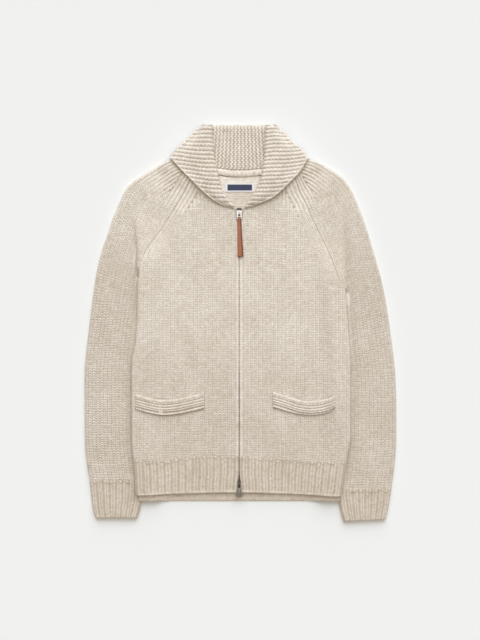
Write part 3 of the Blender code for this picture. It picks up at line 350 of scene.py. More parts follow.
def marled_wool(name, pale, fawn, groove, groove_share=0.7):
    made, tree = new_material(name)
    place = node(tree, "ShaderNodeTexCoord")
    unrolled = node(tree, "ShaderNodeUVMap", uv_map="pattern")
    axes = node(tree, "ShaderNodeSeparateXYZ", [(0, unrolled, 0)])
    count = node(tree, "ShaderNodeMath", [(0, axes, 1)], operation="DIVIDE")
    count.inputs[1].default_value = ROW * MM
    strand = node(tree, "ShaderNodeMath", [(0, count, 0)], operation="FLOOR")
    by_strand = node(tree, "ShaderNodeCombineXYZ", [(0, axes, 0), (1, strand, 0)])
    long_place = node(tree, "ShaderNodeMapping", [(0, by_strand, 0)], Scale=LONG_STREAKS)
    short_place = node(tree, "ShaderNodeMapping", [(0, by_strand, 0)], Scale=SHORT_STREAKS)
    stretches = node(tree, "ShaderNodeTexNoise", [(0, long_place, 0)],
                     Scale=1.0, Detail=2.0, Roughness=0.6)
    flecks = node(tree, "ShaderNodeTexNoise", [(0, short_place, 0)],
                  Scale=1.0, Detail=2.0, Roughness=0.7)
    broad = node(tree, "ShaderNodeTexNoise", [(0, place, "Object")], Scale=BROAD_SCALE, Detail=2.0)
    blend = node(tree, "ShaderNodeMath", [(0, stretches, 0), (1, flecks, 0)], operation="ADD")
    blend = node(tree, "ShaderNodeMath", [(0, broad, 0), (2, blend, 0)], operation="MULTIPLY_ADD")
    blend.inputs[1].default_value = BROAD_SHARE
    ramp = node(tree, "ShaderNodeMapRange", [(0, blend, 0)], From_Min=0.88, From_Max=1.57)
    marl = node(tree, "ShaderNodeMix", [("Factor", ramp, 0)], data_type="RGBA")
    marl.inputs[6].default_value, marl.inputs[7].default_value = colour(fawn), colour(pale)
    # painted shade: where the yarn is low, in a groove, the colour is mixed towards the groove colour
    yarn = node(tree, "ShaderNodeAttribute", attribute_name="yarn")
    painted_groove_shade = node(tree, "ShaderNodeMapRange", [(0, yarn, "Fac")], From_Min=0.0, From_Max=0.55,
                 To_Min=groove_share, To_Max=0.0)
    shaded = node(tree, "ShaderNodeMix", [("Factor", painted_groove_shade, 0), (6, marl, 2)], data_type="RGBA")
    shaded.inputs[7].default_value = colour(groove)
    # painted shade: the blend attribute darkens the cloth towards the hem and on the sleeves
    part = node(tree, "ShaderNodeAttribute", attribute_name="blend")
    shaded = node(tree, "ShaderNodeMix", [("Factor", part, "Fac"), (6, shaded, 2)], data_type="RGBA",
                  blend_type="MULTIPLY")
    shaded.inputs[7].default_value = colour(PAINTED_SHADE_TINT)
    grain = node(tree, "ShaderNodeTexNoise", [(0, place, "Object")],
                 Scale=FIBRE_SCALE, Detail=2.0, Roughness=0.7)
    fibres = node(tree, "ShaderNodeBump", [("Height", grain, 0)], Strength=0.55, Distance=0.0006)
    wool = node(tree, "ShaderNodeBsdfPrincipled", [("Base Color", shaded, 2), ("Normal", fibres, 0)],
                Roughness=0.93, Sheen_Weight=0.35, Sheen_Roughness=0.5, IOR=1.5)
    wool.inputs["Specular IOR Level"].default_value = 0.2
    node(tree, "ShaderNodeOutputMaterial", [("Surface", wool, 0)])
    return made


# the last colour of each finish is the painted shade in its grooves
WOOL = marled_wool("marled_wool_stockinette", "#FDF6EC", "#DDCFBC", "#B6A790", 0.64)
WOOL_RIB = marled_wool("marled_wool_rib", "#F6ECDF", "#D2C3AE", "#A0907A")
WOOL_GARTER = marled_wool("marled_wool_garter", "#FAF2E8", "#DBCDBA", "#8D7E68", 0.7)
print("three wool finishes, from", WOOL.name, "to", WOOL_GARTER.name)

# %% [markdown]
# ## Rolling a grid into cloth
# Each knitted piece starts as one flat grid from Blender's own grid operator. Its points are then
# moved to the cloth: out along the upper face, round the edge and back along the underside. The
# first and last columns meet, and merging them closes the roll. Ends are filled, or the rows too are
# brought back to their start, as on a sleeve, which has an outside and a lining.
# The faces of the hidden underside may be long, so nearly all of the faces go where they are seen.

# %% The roll
MERGE_WITHIN, NO_LENGTH = 0.00002, 0.00001      # metres


def painted_falloff_shade(x, y):
    """Painted shade, from 0 at the chest to 1 on the lower sleeves: darker towards the hem and on the
    sleeves.
    """
    left, right = soft(BODY_EDGE["left"], y) - x, x - soft(BODY_EDGE["right"], y)
    on_arm = step(np.maximum(left, right), 0, 16) * (1 - step(y, 60, 250))
    return np.maximum(0.75 * (1 - step(y, -260, 90)), 0.7 * on_arm)


def rolled(name, places, pattern, yarn, finish, node_name,
           body="garment"):
    """A closed knitted piece from a grid of places in millimetres whose last column is its first."""
    rows, columns = places.shape[:2]
    start = bmesh.new()
    bmesh.ops.create_grid(start, x_segments=columns - 1, y_segments=rows - 1, size=0.5)
    mesh = bpy.data.meshes.new(name)
    start.to_mesh(mesh)
    start.free()
    mesh.vertices.foreach_set("co", ((places - ORIGIN) * MM).astype(np.float32).ravel())
    corner = np.zeros(len(mesh.loops), int)
    mesh.loops.foreach_get("vertex_index", corner)
    unrolled = mesh.uv_layers.new(name="pattern")
    unrolled.data.foreach_set("uv", pattern.reshape(-1, 2)[corner].astype(np.float32).ravel())
    # painted shade towards the hem and on the sleeves, kept as the blend attribute
    painted_shade = painted_falloff_shade(places[..., 0], places[..., 1])
    for label_name, values in (("yarn", yarn), ("blend", painted_shade)):
        kept = mesh.attributes.new(label_name, "FLOAT", "POINT")
        kept.data.foreach_set("value", np.clip(values, 0, 1).astype(np.float32).ravel())
    cloth = bmesh.new()
    cloth.from_mesh(mesh)
    bmesh.ops.remove_doubles(cloth, verts=cloth.verts, dist=MERGE_WITHIN)
    bmesh.ops.dissolve_degenerate(cloth, edges=cloth.edges, dist=NO_LENGTH)
    open_edges = [e for e in cloth.edges if e.is_boundary]
    if open_edges:
        bmesh.ops.holes_fill(cloth, edges=open_edges, sides=0)
        bmesh.ops.triangulate(cloth, faces=[f for f in cloth.faces if len(f.verts) > 4])
    bmesh.ops.recalc_face_normals(cloth, faces=cloth.faces)
    cloth.to_mesh(mesh)
    cloth.free()
    mesh.shade_smooth()
    mesh.materials.append(finish)
    piece = bpy.data.objects.new(name, mesh)
    bpy.context.scene.collection.objects.link(piece)
    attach(piece, body)
    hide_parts(node_name)
    print(name, "has", triangles_of(mesh), "triangles")
    return piece


def triangles_of(mesh):
    return sum(len(p.vertices) - 2 for p in mesh.polygons)


def uv_of(across, up):
    """Places on the unrolled cloth, in metres."""
    return np.stack(np.broadcast_arrays(across * MM, up * MM), -1)


def uv_as_laid(places):
    """The same for a piece that hardly curves, taken as it lies."""
    return uv_of(places[..., 0], places[..., 1])


def stack(x, y, z):
    return np.stack(np.broadcast_arrays(x, y, z), -1).astype(float)


def closed(*faces):
    """The face that shows and the hidden ones side by side, then the first column once more."""
    return np.concatenate([*faces, faces[0][:, :1]], 1)


def with_hidden(yarn, columns, value):
    """The yarn's height on the face that shows, and one value on the hidden columns after it."""
    return np.concatenate([yarn, np.full((len(yarn), columns - yarn.shape[1]), value)], 1)


def strip(x, y, low, thick):
    """A flat band in one round: over its top and back along its underside."""
    return closed(stack(x, y, low + thick), stack(x, y, low)[:, ::-1])


# %% [markdown]
# ## The fronts
# Each front is a panel of stockinette between the zip and the side seam. Its columns of stitches
# run straight up beside the zip, and the raglan seam cuts them off one by one. Beside the seam, three
# columns follow it instead: that is how a knitter keeps a shaped edge neat, and each decrease leaves
# a small hole where the two directions meet. The grid is aligned with the columns, and points that
# fall past the edge are drawn back onto it.

# %% Edges of a panel


def panel_edge(side, y):
    """Outer edge of a front or of the back: the side seam, then the raglan seam."""
    below, above = soft(BODY_EDGE[side], y), soft(RAGLAN[side], y) - SIDES[side] * SEAM / 2
    return np.where(y < UNDERARM_Y[side], below, above)


def panel_roll(side, y):
    """Radius of that edge: a folded side below the underarm, a seam above it."""
    return SEAM_ROLL + (ROLL - SEAM_ROLL) * step(UNDERARM_Y[side] - y, 0, 30)


RAGLAN_WAY = {"left": (0.5, 0.866), "right": (-0.407, 0.913)}      # the seam's direction
RAGLAN_LEAN = 0.87          # turns a distance across into one square to the seam
EDGE_COLUMNS = 3            # columns that follow the seam
ABOVE_UNDERARM = 12         # where they start
STITCH_DEPTH = 1.8
COLLAR_SHADE = 6.5          # how far the lapel's edge shades the cloth beside it


def decrease_hole(from_seam, up):
    """The small hole at each decrease, one to two rows, beside the columns that follow the seam."""
    beside, above = from_seam - EDGE_COLUMNS - 0.15, (up / (2 * ROW)) % 1 - 0.5
    return np.exp(-(beside / 0.2) ** 2 - (above / 0.22) ** 2)


def panel_pattern(side, x, y, beside_zip):
    """Column and row of the stitch at each place, how far the columns gather, and the holes."""
    from_seam = SIDES[side] * (panel_edge(side, y) - x) * RAGLAN_LEAN / COLUMN
    shaped = y > UNDERARM_Y[side] + ABOVE_UNDERARM
    follows = shaped & (from_seam < EDGE_COLUMNS)
    cu = np.where(follows, from_seam, beside_zip / COLUMN)
    way = RAGLAN_WAY[side]
    cv = np.where(follows, (way[0] * x + way[1] * y) / ROW, y / ROW)
    gather = step(y, 190, 262) - 0.4 * (1 - step(y, 150, 230))
    gather = gather * (1 - step(from_seam, 3.0, 6.5)) * shaped
    hole = decrease_hole(from_seam, y) * shaped * step(y, 205, 232)
    return cu, cv, gather, hole


def beside_lapel(side, x, y):
    """Painted shadow of the lapel's free edge: 1 on the cloth right outside it, falling to 0 a few
    millimetres away.
    """
    edge_x = soft(COLLAR_EDGE[side], y, 1, 0)
    away = SIDES[side] * (x - edge_x) * 0.7
    beside = np.exp(-np.clip(away / COLLAR_SHADE, 0, None) ** 2)
    return beside * step(y, 228, 236) * (1 - step(y, 326, 336))


def corded(yarn, cu, share):
    """Stretched stitches: their columns close up into cords."""
    return yarn + share * (np.abs(np.sin(math.pi * cu)) ** 0.8 - yarn)


print("a hole every", 2 * ROW, "mm along the decreases")

# %% Left and right front
FRONT_TOP, FRONT_REACH = 306, 232                   # its highest row and its widest
HEM_BEND = 120                                      # the height over which rows follow the hem's bend
ZIP_HALF, ZIP_ROLL = 1.6, 1.6                       # half the gap at the zip, and the edge's radius
EDGE_STEPS = [0, 0.35, 0.8]                         # finer columns round the edge at the zip
HIDDEN_INSETS = (25, 38, 50, 62, 100, 150)          # columns of the underside, in from its side
HOLE_DEPTH, CORD_HEIGHT = 2.2, 0.9


def front(side):
    sign = SIDES[side]
    rows = np.arange(FRONT_LOW, FRONT_TOP, ROW / PER_ROW)[:, None]
    edge = panel_edge(side, rows)
    radius = panel_roll(side, rows)
    over_zip = 1.05 + 0.35 * step(rows, -140, -60)      # edge stitches reach over the tape
    over_zip = over_zip - 0.5 * cycle(rows / ROW)
    over_zip = over_zip * step(rows, 205, 190) * step(rows, -300, -270)
    zip_edge = ZIP_X + sign * (soft(OPENING, rows) - over_zip)
    width = np.abs(edge - zip_edge)
    one_face = COLUMN / PER_COLUMN
    steps = np.concatenate([EDGE_STEPS, np.arange(one_face, FRONT_REACH, one_face)])
    from_line = steps[None, :] + np.zeros_like(rows)
    cut_off = soft(OPENING, rows) - ZIP_HALF            # the neckline cuts columns off
    into = np.clip(from_line - cut_off, 0, None)
    inset_zip = np.minimum(into, width)
    x = zip_edge + sign * inset_zip
    bend = np.clip(1 - (rows - FRONT_LOW) / HEM_BEND, 0, 1)
    y = rows + bend * (soft(HEM_TOP, x) - FRONT_LOW)
    inset = width - inset_zip
    cu, cv, gather, hole = panel_pattern(side, x, y, from_line)
    yarn = corded(vee(cu, cv), cu, 0.75 * step(gather, 0.1, 0.7))
    plain = 1 - 0.3 * (from_line < COLUMN * 0.9) * (rows < 200)
    full = rounded(inset, radius)
    full_zip = rounded(inset_zip, ZIP_ROLL)
    top = ground(x, y) + FLAT + waves(x, y) * step(inset, 0, 30)
    edge_cord = np.exp(-((from_line - 3.2) / 2.2) ** 2) * step(200 - rows, 0, 12)
    relief = STITCH_DEPTH * (yarn - 0.6) * plain * (1 + gather)
    relief = relief - HOLE_DEPTH * hole + CORD_HEIGHT * edge_cord
    z = top - radius * (1 - full) - ZIP_ROLL * (1 - full_zip) + relief * full * full_zip
    upper = stack(x, y, z)
    folded = (radius - SEAM_ROLL) / (ROLL - SEAM_ROLL)
    under = []
    for inset_under in (WALL * folded + 0.2, WALL * folded + 2, *HIDDEN_INSETS):
        back_x = edge - sign * np.minimum(inset_under, width - ZIP_ROLL)
        back_y = rows + bend * (soft(HEM_TOP, back_x) - FRONT_LOW)
        under.append(stack(back_x, back_y, ground(back_x, back_y) + FLAT - WALL))
    under.append(stack(zip_edge + sign * 0.5, y[:, :1], top[:, :1] - WALL))
    places = closed(upper, *under)
    hidden_u = from_line[:, -1:] + 8.0 * np.arange(1, len(under) + 2)
    # painted shadow of the lapel's edge, put into the yarn's height so the wool darkens beside it
    yarn = yarn * (1 - 0.95 * beside_lapel(side, x, y))
    # the decrease holes are dips, and their colour is darkened as painted shade
    shown = np.maximum(yarn * plain + 0.5 * (1 - plain) - hole, 0.8 * edge_cord)
    return rolled(f"front_panel_{side}", places, uv_of(np.concatenate([from_line, hidden_u], 1), rows),
                  with_hidden(shown, places.shape[1], 0.6), WOOL,
                  f"front_{side}")


for side in SIDES:
    front(side)

# %% [markdown]
# ## The sleeves
# A raglan sleeve is one sheet knitted round the arm. Laid flat it has a fold along its outer side,
# and its stitch columns run down parallel to that fold, so near the shoulder they turn with it. The
# body lies over its inner side. The sheet is rolled twice here: round the arm, and at both ends back
# along a lining, so the sleeve is a real tube with walls.

# %% Left and right sleeve
LINING_ROWS = 14
LINING_HALF = 0.75          # half the gap inside a sleeve
FOLD_STEPS = [0, 0.25, 0.65]
CREASE_DEPTH, CREASE_OUT, CREASE_WIDTH = 2.2, 6, 9      # beside the body's side, which presses there


def sleeve_sections(side):
    """Inner end and outer fold of evenly spaced sections along a sleeve, in millimetres."""
    table = SLEEVE[side]
    inner_y = np.linspace(table[0][0], table[-1][0], 900)
    outer = np.stack([soft(table, inner_y, 0, 1), soft(table, inner_y, 0, 2)], -1)
    raglan_x = soft(RAGLAN[side], inner_y) + SIDES[side] * SEAM / 2
    inner_x = np.where(inner_y >= UNDERARM_Y[side], raglan_x, soft(TUCK[side], inner_y))
    inner = np.stack([inner_x, inner_y], -1)
    middle = (inner + outer) / 2
    run = np.concatenate([[0], np.cumsum(np.hypot(*np.diff(middle, axis=0).T))])
    wanted = np.linspace(0, run[-1], int(run[-1] / (ROW / PER_ROW)))
    inner, outer = [np.stack([np.interp(wanted, run, line[:, k]) for k in (0, 1)], -1)
                    for line in (inner, outer)]
    return inner, outer, wanted


def sleeve(side):
    inner, outer, run = sleeve_sections(side)
    span = np.hypot(*(outer - inner).T)[:, None]
    way = (inner - outer) / span
    near_y = inner[:, 1:2]
    near_roll = SEAM_ROLL + (ROLL - SEAM_ROLL) * step(UNDERARM_Y[side] - near_y, 14, 44)
    near_roll = np.minimum(near_roll, 0.3 * span)
    far_roll = np.minimum(ROLL, 0.35 * span)

    def at(distance):
        return outer[:, :1] + way[:, :1] * distance, outer[:, 1:2] + way[:, 1:2] * distance

    def place(distance, upper, relief=0.0):
        """The sleeve's outside at a distance from its outer fold, on its upper or its lower face."""
        x, y = at(distance)
        base = ground(x, y, on_sleeve=True)
        near, far = rounded(span - distance, near_roll), rounded(distance, far_roll)
        wave = waves(x, y) * step(distance, 0, 25) * step(span - distance, 0, 25) * upper
        lean = near_roll * (1 - near) + far_roll * (1 - far)
        if upper:
            return stack(x, y, base + FLAT - lean + wave + relief * near * far)
        return stack(x, y, base + lean)

    def lining_place(distance, way_up):
        """The same on the lining, a wall's thickness in; way_up is 1 on its upper face, else -1."""
        x, y = at(np.clip(distance, WALL, np.maximum(span - WALL, WALL + 0.1)))
        return stack(x, y, ground(x, y, on_sleeve=True) + ROLL + LINING_HALF * way_up)

    one_face = COLUMN / PER_COLUMN
    steps = np.concatenate([FOLD_STEPS, np.arange(one_face, 1.02 * span.max(), one_face)])
    distance = np.minimum(steps[None, :], span)
    x, y = at(distance)
    cu, cv = distance / COLUMN * (1 + 0.2 * step(near_y, 200, 290)), run[:, None] / ROW
    from_seam = (span - distance) / COLUMN * 0.9
    shaped = near_y > UNDERARM_Y[side] + ABOVE_UNDERARM
    follows = shaped & (from_seam < EDGE_COLUMNS)
    cu = np.where(follows, from_seam, cu)
    gather = step(near_y, 200, 262) * (1 - step(from_seam, 3.4, 6.5)) * shaped
    hole = decrease_hole(from_seam, run[:, None]) * shaped * step(near_y, 225, 245)
    yarn = corded(vee(cu, cv), cu, 0.8 * step(near_y, 205, 262))
    beside = SIDES[side] * (x - soft(BODY_EDGE[side], y))
    crease = np.exp(-((beside - CREASE_OUT) / CREASE_WIDTH) ** 2)
    crease = crease * step(y, -330, -290) * (1 - step(y, 160, 232))
    relief = 1.2 * STITCH_DEPTH * (yarn - 0.6) * (1 + gather)
    upper = place(distance, True, relief - 2.0 * hole - CREASE_DEPTH * crease)
    # painted shade in the crease beside the body's side, and the lapel edge's painted shadow
    yarn = yarn * (1 - 0.5 * crease) * (1 - 0.95 * beside_lapel(side, x, y))
    shares = np.array([0.0, 0.12, 0.5, 1.0])
    lower_steps = [span - near_roll * s for s in shares]
    lower_steps += [span - near_roll - (span - near_roll - far_roll) * s
                    for s in (0.2, 0.4, 0.6, 0.8)]
    lower_steps += [far_roll * s for s in shares[::-1][:-1]]
    outside = closed(upper, *[place(s, False) for s in lower_steps])
    picked = np.linspace(len(run) - 1, 0, LINING_ROWS).round().astype(int)
    lining = closed(lining_place(distance, 1), *[lining_place(s, -1) for s in lower_steps])[picked]
    places = np.concatenate([outside, lining, outside[:1]])
    hidden_u = steps[-1] + 10.0 * np.arange(1, places.shape[1] - len(steps) + 1)
    flat_u = np.concatenate([steps, hidden_u])[None, :]
    lining_v = run[-1] + 5 + np.linspace(0, run[-1], LINING_ROWS)
    flat_v = np.concatenate([run, lining_v, [2 * run[-1] + 10]])[:, None]
    heights = np.full(places.shape[:2], 0.6)
    # the decrease holes get painted shade in their colour
    heights[:len(run), :len(steps)] = np.maximum(yarn - hole, 0)
    return rolled(f"sleeve_{side}_knit", places, uv_of(flat_u, flat_v), heights, WOOL,
                  f"sleeve_{side}")


for side in SIDES:
    sleeve(side)

# %% [markdown]
# ## The back and its hem
# The back is one panel, mostly hidden. Through the open collar its inside shows, which is the wrong
# side of the knitting: fine rows of arcs. Only that window gets modelled stitches. Its outside faces
# the surface, so there it is left smooth and the wool's material gives only its marl.

# %% The back panel


def spaced(*stretches):
    """Places along a line: each stretch is its start, its end and the step between places."""
    return np.unique(np.round(np.concatenate([np.arange(a, b, s) for a, b, s in stretches]), 3))


WINDOW_LOW, WINDOW = 214, 56            # the part of the inside that shows: its start and half width
BACK_TOP = 310
UNDER_DROP = 0.15                       # how far the underside sinks into what it lies on


def back():
    rows = spaced((BACK_LOW, WINDOW_LOW, 9.0), (WINDOW_LOW, BACK_TOP + 0.01, ROW / PER_ROW))[:, None]
    left, right = panel_edge("left", rows), panel_edge("right", rows)
    across = spaced((-WINDOW, WINDOW, 1.6))[None, :] + ZIP_X
    reach = np.array([0, 0.12, 0.35, 1.0])
    ramp = np.array([[12, 25, 34, 42, 50, 62, 90, 120]])
    roll_left, roll_right = panel_roll("left", rows), panel_roll("right", rows)
    west = [left + roll_left * reach, np.minimum(left + ramp, -WINDOW + ZIP_X - 3)]
    east = [np.maximum(right - ramp[:, ::-1], WINDOW + ZIP_X + 1), right - roll_right * reach[::-1]]
    x = np.concatenate([*west, across + 0 * rows, *east], 1)
    half = np.where(x < ZIP_X, left[-1], right[-1]) - ZIP_X
    neck = STAND_Y + (BACK_TOP - STAND_Y) * ((x - ZIP_X) / half) ** 2
    y = rows + step(rows, 232, BACK_TOP) * (neck - SEAM - BACK_TOP)
    low = ground(x, y)
    full = np.minimum(rounded(x - left, roll_left), rounded(right - x, roll_right))
    radius = np.where(x < ZIP_X, roll_left, roll_right)
    under_z = np.maximum(low + radius * (1 - full) - UNDER_DROP, 0)
    open_neck = step(rows, WINDOW_LOW, WINDOW_LOW + 6) * (np.abs(x - ZIP_X) < WINDOW)
    yarn = arcs(x / COLUMN, y / ROW)
    upper_z = np.maximum(low + WALL + 0.9 * (yarn - 0.5) * open_neck, under_z + 0.05 * full)
    upper = stack(x, y, upper_z)
    under = stack(x, y, under_z)[:, ::-1]
    places = np.concatenate([upper, under[:, 1:]], 1)
    heights = with_hidden(np.where(open_neck > 0, 0.5 + 0.5 * yarn, 0.6), places.shape[1], 0.6)
    return rolled("back_panel", places, uv_as_laid(places), heights, WOOL,
                  "back")


back()

# %% [markdown]
# ## Ribbed hem and cuffs
# Two knit columns stand up and two purl columns sink between them, because knit and purl stitches
# curl opposite ways. That is what makes ribbing spring, and why its bands look like cords. The front
# hem is a wall open at its lower edge, which rounds over there. A cuff is a tube like its sleeve.

# %% Ribbed bands
RIB_DEPTH = 1.8
HEM_RIBS = {"left": 14.6, "right": 15.3}
BACK_RIBS, CUFF_RIBS = 28, 8.3
HEM_HEIGHT, EDGE_TURN = 72, 2.2
HEM_STEPS, HIDDEN_YARN = 64, 0.5
END_HALF = 2.25                         # half the gap between the lining's faces at a cuff's end
CUFF_LINING = [62, 60, 57, 40, 20, 0]   # rows of the outside that the lining runs back along


def ribbed(rib_place, row_place, columns=2):
    """Height and yarn of ribbing; rib_place counts ribs and row_place counts rows."""
    body, column = rib(rib_place, columns)
    cord = np.abs(np.sin(math.pi * column)) ** 0.7
    knit = cord * (0.5 + 0.5 * vee(column, row_place))
    purl = 0.08 + 0.42 * arcs(column, row_place)
    yarn = purl + (knit - purl) * body
    return RIB_DEPTH * (yarn + 0.15 * body - 0.65), yarn


def ribbed_from_top(rib_place, down):
    """Ribbing with the loose loops of its first row, which are a little uneven in height."""
    raised, yarn = ribbed(rib_place, down / ROW)
    column = np.floor(rib_place * 2)
    start = 2.2 + 1.5 * np.sin(column * 2.4) + 0.8 * np.sin(column * 5.1)
    loops = np.exp(-((down - start) / 1.9) ** 2) * np.abs(np.sin(2 * math.pi * rib_place))
    return raised + 1.5 * loops, np.maximum(yarn, loops)


def hem_front(side):
    sign = SIDES[side]
    count = HEM_RIBS[side]
    share = np.linspace(0, 1, HEM_STEPS)[:, None]
    level = FRONT_LOW - share * HEM_HEIGHT
    side_x = soft(BODY_EDGE[side], level)
    front_x = ZIP_X + sign * (soft(OPENING, level) - 1.0 * step(level, -320, -302))
    span = np.abs(side_x - front_x)
    middle = np.linspace(0.02, 0.992, int(count * 16))
    across = np.concatenate([[0, 0.004, 0.012], middle, [0.997, 1]])[None, :]
    inset = span * across
    x = side_x - sign * inset
    top_y, low_y = soft(HEM_TOP, x) + 0.15, soft(HEM_BOTTOM, x)
    y = top_y + (low_y - top_y) * share
    raised, yarn = ribbed_from_top(1.02 * across * count - 0.3, share * HEM_HEIGHT)
    from_end = (1 - share) * HEM_HEIGHT
    cast_on = np.exp(-((from_end - 3.0) / 1.6) ** 2) * (0.8 + 0.2 * np.cos(across * count * 12.57))
    raised, yarn = np.maximum(raised, 0.9 * cast_on), np.maximum(yarn, cast_on)
    full, full_in = rounded(inset, ROLL), rounded(span - inset, ZIP_ROLL)
    end = EDGE_TURN * (1 - rounded(from_end, EDGE_TURN))
    top = ground(x, y) + FLAT
    z = top - ROLL * (1 - full) - ZIP_ROLL * (1 - full_in) + raised * full * full_in - end * full
    upper = stack(x, y, z)
    pick = np.array([0.03, 0.12, 0.3, 0.6, 0.9, 0.99])[::-1]
    back_x = side_x - sign * span * pick
    back_top = soft(HEM_TOP, back_x)
    back_y = back_top + 0.15 + (soft(HEM_BOTTOM, back_x) - back_top) * share
    under = stack(back_x, back_y, ground(back_x, back_y) + FLAT - WALL + end)
    places = closed(upper, under)
    return rolled(f"hem_ribbing_{side}", places, uv_of(closed(inset, span * pick), share * HEM_HEIGHT),
                  with_hidden(yarn, places.shape[1], HIDDEN_YARN), WOOL_RIB,
                  f"hem_front_{side}")


def hem_back():
    height = BACK_LOW - BACK_HEM_BOTTOM
    share = np.concatenate([np.linspace(0, 0.97, 38), [0.98, 0.989, 0.995, 0.998, 1.0]])[:, None]
    level = BACK_LOW - SEAM - share * height
    left, right = soft(BODY_EDGE["left"], level), soft(BODY_EDGE["right"], level)
    middle = np.linspace(0.0125, 0.9875, BACK_RIBS * 8)
    across = np.concatenate([[0, 0.002, 0.005], middle, [0.995, 0.998, 1]])[None, :]
    x = left + (right - left) * across
    raised, yarn = ribbed(across * BACK_RIBS, share * height / ROW)
    shows = step(share, 0.75, 0.85) * step(1 - share, 0, 0.04)
    flattened = step(share, 0.86, 0.985)        # the side's roll runs out at the corner

    def underside(x):
        """How full the side's roll is at each place, and the height of the underside there."""
        full = np.minimum(rounded(x - left, ROLL), rounded(right - x, ROLL))
        return full, np.maximum(ground(x, level) + ROLL * (1 - full) * (1 - flattened) - UNDER_DROP, 0)

    full, z_low = underside(x)
    thin = 1.2 * np.clip((share - 0.85) / 0.13, 0, 1)
    thin = thin + 1.4 * (1 - rounded((1 - share) * height, 2.0))
    z_up = ground(x, level) + WALL + 0.2 * raised * shows * full
    z_up = z_up - thin * (full + (1 - full) * flattened)
    upper = stack(x, level, np.maximum(z_up, z_low))
    pick = np.array([0.9875, 0.9, 0.8, 0.5, 0.2, 0.1, 0.0125])
    back_x = left + (right - left) * pick
    places = closed(upper, stack(back_x, level, underside(back_x)[1]))
    heights = with_hidden(0.95 + 0.05 * yarn, places.shape[1], HIDDEN_YARN)
    return rolled("back_hem_ribbing", places, uv_as_laid(places), heights, WOOL_RIB,
                  "hem_back")


def cuff(side):
    inner_line, outer_line = CUFF[side]
    share = np.concatenate([np.linspace(0, 0.95, 58), [0.962, 0.974, 0.985, 0.993, 1.0]])
    near, far = along(inner_line, share), along(outer_line, share)
    span = np.hypot(*(far - near).T)[:, None]
    way = (far - near) / span
    length = float(np.hypot(*(along(outer_line, 1.0) - along(outer_line, 0.0))))

    end = EDGE_TURN * (1 - rounded((1 - share[:, None]) * length, EDGE_TURN))

    def at(inset):
        return near[:, :1] + way[:, :1] * inset, near[:, 1:2] + way[:, 1:2] * inset

    def place(inset, way_up, raised=0.0):
        """The cuff's outside at an inset from its inner edge; way_up is 1 on its upper face."""
        full = np.minimum(rounded(inset, ROLL), rounded(span - inset, ROLL))
        return stack(*at(inset), ROLL + way_up * (ROLL * full - end * full) + raised * full)

    def lining_place(inset, way_up):
        """The same on its lining, which opens towards the end."""
        opened = LINING_HALF + (END_HALF - LINING_HALF) * end / EDGE_TURN
        return stack(*at(np.clip(inset, WALL, span - WALL)), ROLL + way_up * opened)

    middle = np.linspace(0.04, 0.96, 7 * 18)
    across = np.concatenate([[0, 0.006, 0.02], middle, [0.98, 0.994, 1]])[None, :]
    raised, yarn = ribbed_from_top(across * CUFF_RIBS - 0.3, share[:, None] * length)
    covered = step(across * span, 9, 15)
    upper = place(across * span, 1, raised * covered)
    lower_shares = np.array([0.995, 0.98, 0.95, 0.75, 0.5, 0.25, 0.05, 0.02, 0.005])
    outside = closed(upper, *[place(s * span, -1) for s in lower_shares])
    lining = closed(lining_place(across * span, 1), *[lining_place(s * span, -1) for s in lower_shares])
    lining = lining[CUFF_LINING]
    places = np.concatenate([outside, lining, outside[:1]])
    flat_u = np.concatenate([across[0], lower_shares, [0]])[None, :] * 100
    lining_v = length + 3 + np.linspace(0, length, len(lining))
    flat_v = np.concatenate([share * length, lining_v, [2 * length + 6]])[:, None]
    heights = np.full(places.shape[:2], 0.55)
    heights[:len(share), :across.shape[1]] = yarn
    return rolled(f"cuff_{side}_ribbing", places, uv_of(flat_u, flat_v), heights, WOOL_RIB,
                  f"cuff_{side}")


for side in SIDES:
    hem_front(side)
hem_back()
for side in SIDES:
    cuff(side)

# %% [markdown]
# ## The shawl collar
# The collar is one strip of garter stitch, picked up along the neck and folded over. Its lapels roll
# at their inner edge and lie on the fronts. Garter ridges there run across, while behind the neck the
# strip is seen from its other side, where the same ridges stand upright and swing from side to side.
# Each lapel's section is a line that runs over the roll and out along the upper layer. The relief is
# strong, as thick yarn casts deep shadows in garter stitch.

# %% The lapels
LAPEL_RIDGES = {"left": 19.5, "right": 21}
GARTER_DEPTH = 2.15
LAPEL_BASE = ((232, 6.2), (238, 7.2), (252, 10.8), (272, 12.6), (290, 14.3), (400, 14.3))
RIDGE_RISE, CORNER_SHARE, FOLD_BACK, LAPEL_GAP = 8, 0.42, 16, 0.3
EDGE_ROLL, SIDE_ROLL, STAND_HALF = 3.0, 7.0, 68
LAPEL_LOW, LAPEL_RUN = 232, 164         # its end at the zip, and its length
WOBBLE_START = {"left": 1.4, "right": 0.2}
LAPEL_STEPS, UPPER_STEPS, ARC_STEPS = 190, 92, 15


def lapel_row(side, share):
    """Both ends of a row of the lapel, from the collar's top at 0 to the zip at 1."""
    y_in = COLLAR_TOP - share * (COLLAR_TOP - LAPEL_LOW)
    start = np.array([float(soft(LAPEL_INNER[side], y_in)), y_in])
    y_out = y_in + RIDGE_RISE * math.sin(math.pi * share) - 1.2 * (1 - share)
    on_roll = y_out > COLLAR_ROLL[side][-1][1]
    line = COLLAR_ROLL[side] if on_roll else COLLAR_EDGE[side]
    outer_x = float(soft(line, y_out, 1, 0))
    return start, np.array([outer_x, min(y_out, COLLAR_ROLL[side][0][1])]), on_roll


